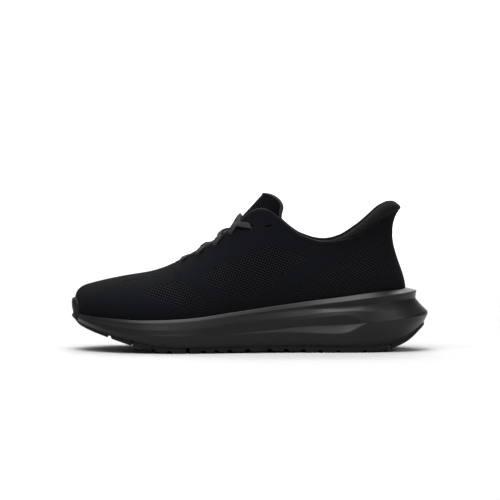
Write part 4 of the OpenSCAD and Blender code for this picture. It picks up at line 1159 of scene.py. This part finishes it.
class AddTrims(Build):
    """Adds the throat's corded edge and the rows of stitching"""
    bl_idname = "running_shoe.trims"
    bl_label = "Edge Cord and Stitching"

    def build(self, colours):
        cord = woven("ribbed edge cord", colours.trim_painted_shade, colours.trim, 1.0, .12)
        thread, tree, shader = surface("bonded nylon thread", .6, .15)
        place = add(tree, "ShaderNodeTexCoord").outputs["Object"]
        twist = add(tree, "ShaderNodeTexNoise", {"Scale": 900.0}, {"Vector": place})
        tone(tree, shader, "#08080a", "#1c1c1e", twist.outputs[0], twist.outputs[0], .05)
        for side, way in (("lateral", -1), ("medial", 1)):
            g = np.linspace(way * .4759, way * THROAT_END, 80)[::-way]
            finish(edge_cord(f"throat_cord_{side}", g), cord, "piping", "shoe", f"edge_piping_{side}")
            g = np.linspace(way * .27, way * .4757, 90)[::-way]
            thin = edge_cord(f"collar_cord_{side}", g, .85 * smooth((np.abs(g) - .268) / .03))
            finish(thin, cord, "piping", "shoe")
            for place, start, end, count, t in (("collar", .012, .468, 320, .975),
                                                ("throat", .477, .612, 160, .98)):
                g = np.linspace(way * start, way * end, count)
                row = stitches(f"{place}_stitching_{side}", layer(g, t, 0 * g - .02), skin_normal(g, t))
                finish(row, thread, "piping", "shoe")


class AddLace(Build):
    """Adds the flat elastic lace along its whole route"""
    bl_idname = "running_shoe.lace"
    bl_label = "Lace"

    def build(self, colours):
        braid = woven("flat braided polyester", colours.trim_painted_shade, colours.trim, 1.3, .16)
        finish(flat_lace(), braid, "lace", "shoe", "lace")


class AddStage(Build):
    """Adds the pale floor that rises into a backdrop, the soft lights and the camera"""
    bl_idname = "running_shoe.stage"
    bl_label = "Stage"

    def build(self, colours):
        scene = bpy.context.scene
        reach, back, bend = 4000, 3500, 1500  # of the floor in mm: half width, depth and turn's radius
        turn = np.linspace(0, np.pi / 2, 16)[1:]
        run = np.concatenate([[-reach, back], back + bend * np.sin(turn), [back + bend]])
        rise = np.concatenate([[0, 0], bend - bend * np.cos(turn), [back + bend]])
        grid = vec(np.array([[-reach], [0], [reach]]), run[None], rise[None] - .05)
        floor = make_mesh("studio_sweep", grid.reshape(-1, 3), grid_faces(*grid.shape[:2]))
        paper, tree, shader = surface("seamless studio paper", .9, .1)
        place = add(tree, "ShaderNodeTexCoord").outputs["Object"]
        fibre = add(tree, "ShaderNodeTexNoise", {"Scale": 60.0}, {"Vector": place})
        tone(tree, shader, "#b2b2b2", "#bababa", fibre.outputs[0])
        floor.data.materials.append(paper)
        world = bpy.data.worlds.new("studio")
        scene.world = world
        world.use_nodes = True
        sky = world.node_tree.nodes["Background"]
        sky.inputs["Color"].default_value = (1, 1, 1, 1)
        sky.inputs["Strength"].default_value = .12
        self.light("softbox_above", (-.15, -.3, 1.5), 1.0, 34)
        self.light("softbox_front", (-.1, -1.9, 1.4), 1.4, 40, (-.1, -2.5, 0))
        self.light("strip_heel", (1.2, -.9, 1.0), .7, 6)
        self.light("floor_wash", (0, 2.2, 2.4), 2.0, 110, (0, 2.6, 0))
        self.light("backdrop_wash", (0, 3.2, 3.0), 2.5, 260, (0, 5, 1.0))
        scene.view_settings.view_transform = "Standard"
        self.camera(scene)

    def light(self, name, place, size, power, aim=(0, 0, .05)):
        """A square soft light that looks at the shoe, or at another aim."""
        lamp = bpy.data.lights.new(name, "AREA")
        lamp.shape, lamp.size, lamp.energy = "SQUARE", size, power
        holder = bpy.data.objects.new(name, lamp)
        holder.location = place
        holder.rotation_euler = (Vector(aim) - Vector(place)).to_track_quat("-Z", "Y").to_euler()
        bpy.context.scene.collection.objects.link(holder)

    def camera(self, scene):
        """A long lens at a right angle to the shoe, a little above it, framing 430 mm."""
        distance, wide, aim = 3.2, .430, Vector((.0004, 0, .0855))
        angle = scene.shoe_sizes.view_height
        eye = bpy.data.cameras.new("camera")
        eye.lens = eye.sensor_width * distance / wide
        holder = bpy.data.objects.new("camera", eye)
        holder.location = aim + Vector((0, -np.cos(angle), np.sin(angle))) * distance
        holder.rotation_euler = (aim - holder.location).to_track_quat("-Z", "Y").to_euler()
        scene.collection.objects.link(holder)
        scene.camera = holder


STEPS = (AddStage, AddMidsole, AddOutsole, AddUpper, AddInnerLayers, AddCollar, AddSockliner, AddTongue,
         AddTrims, AddLace)


class ShoePanel(bpy.types.Panel):
    """Lists the shoe's sizes, colours and building steps"""
    bl_idname = "VIEW3D_PT_running_shoe"
    bl_label = "Running Shoe"
    bl_space_type = "VIEW_3D"
    bl_region_type = "UI"
    bl_category = "Running Shoe"

    def draw(self, context):
        """Draws the settings, then a button for each step"""
        for group in (context.scene.shoe_sizes, context.scene.shoe_colours):
            box = self.layout.box()
            for key in group.__annotations__:
                box.prop(group, key)
        for step in STEPS:
            self.layout.operator(step.bl_idname)


CLASSES = (ShoeSizes, ShoeColours, *STEPS, ShoePanel)


def register():
    """Registers the classes and hangs the settings on the scene"""
    for item in CLASSES:
        bpy.utils.register_class(item)
    bpy.types.Scene.shoe_sizes = bpy.props.PointerProperty(type=ShoeSizes)
    bpy.types.Scene.shoe_colours = bpy.props.PointerProperty(type=ShoeColours)


def unregister():
    """Takes the settings and the classes away again"""
    del bpy.types.Scene.shoe_sizes
    del bpy.types.Scene.shoe_colours
    for item in reversed(CLASSES):
        bpy.utils.unregister_class(item)


def main():
    """Registers the add-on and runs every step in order"""
    register()
    for step in STEPS:
        area, name = step.bl_idname.split(".")
        getattr(getattr(bpy.ops, area), name)()


if __name__ == "__main__":
    main()
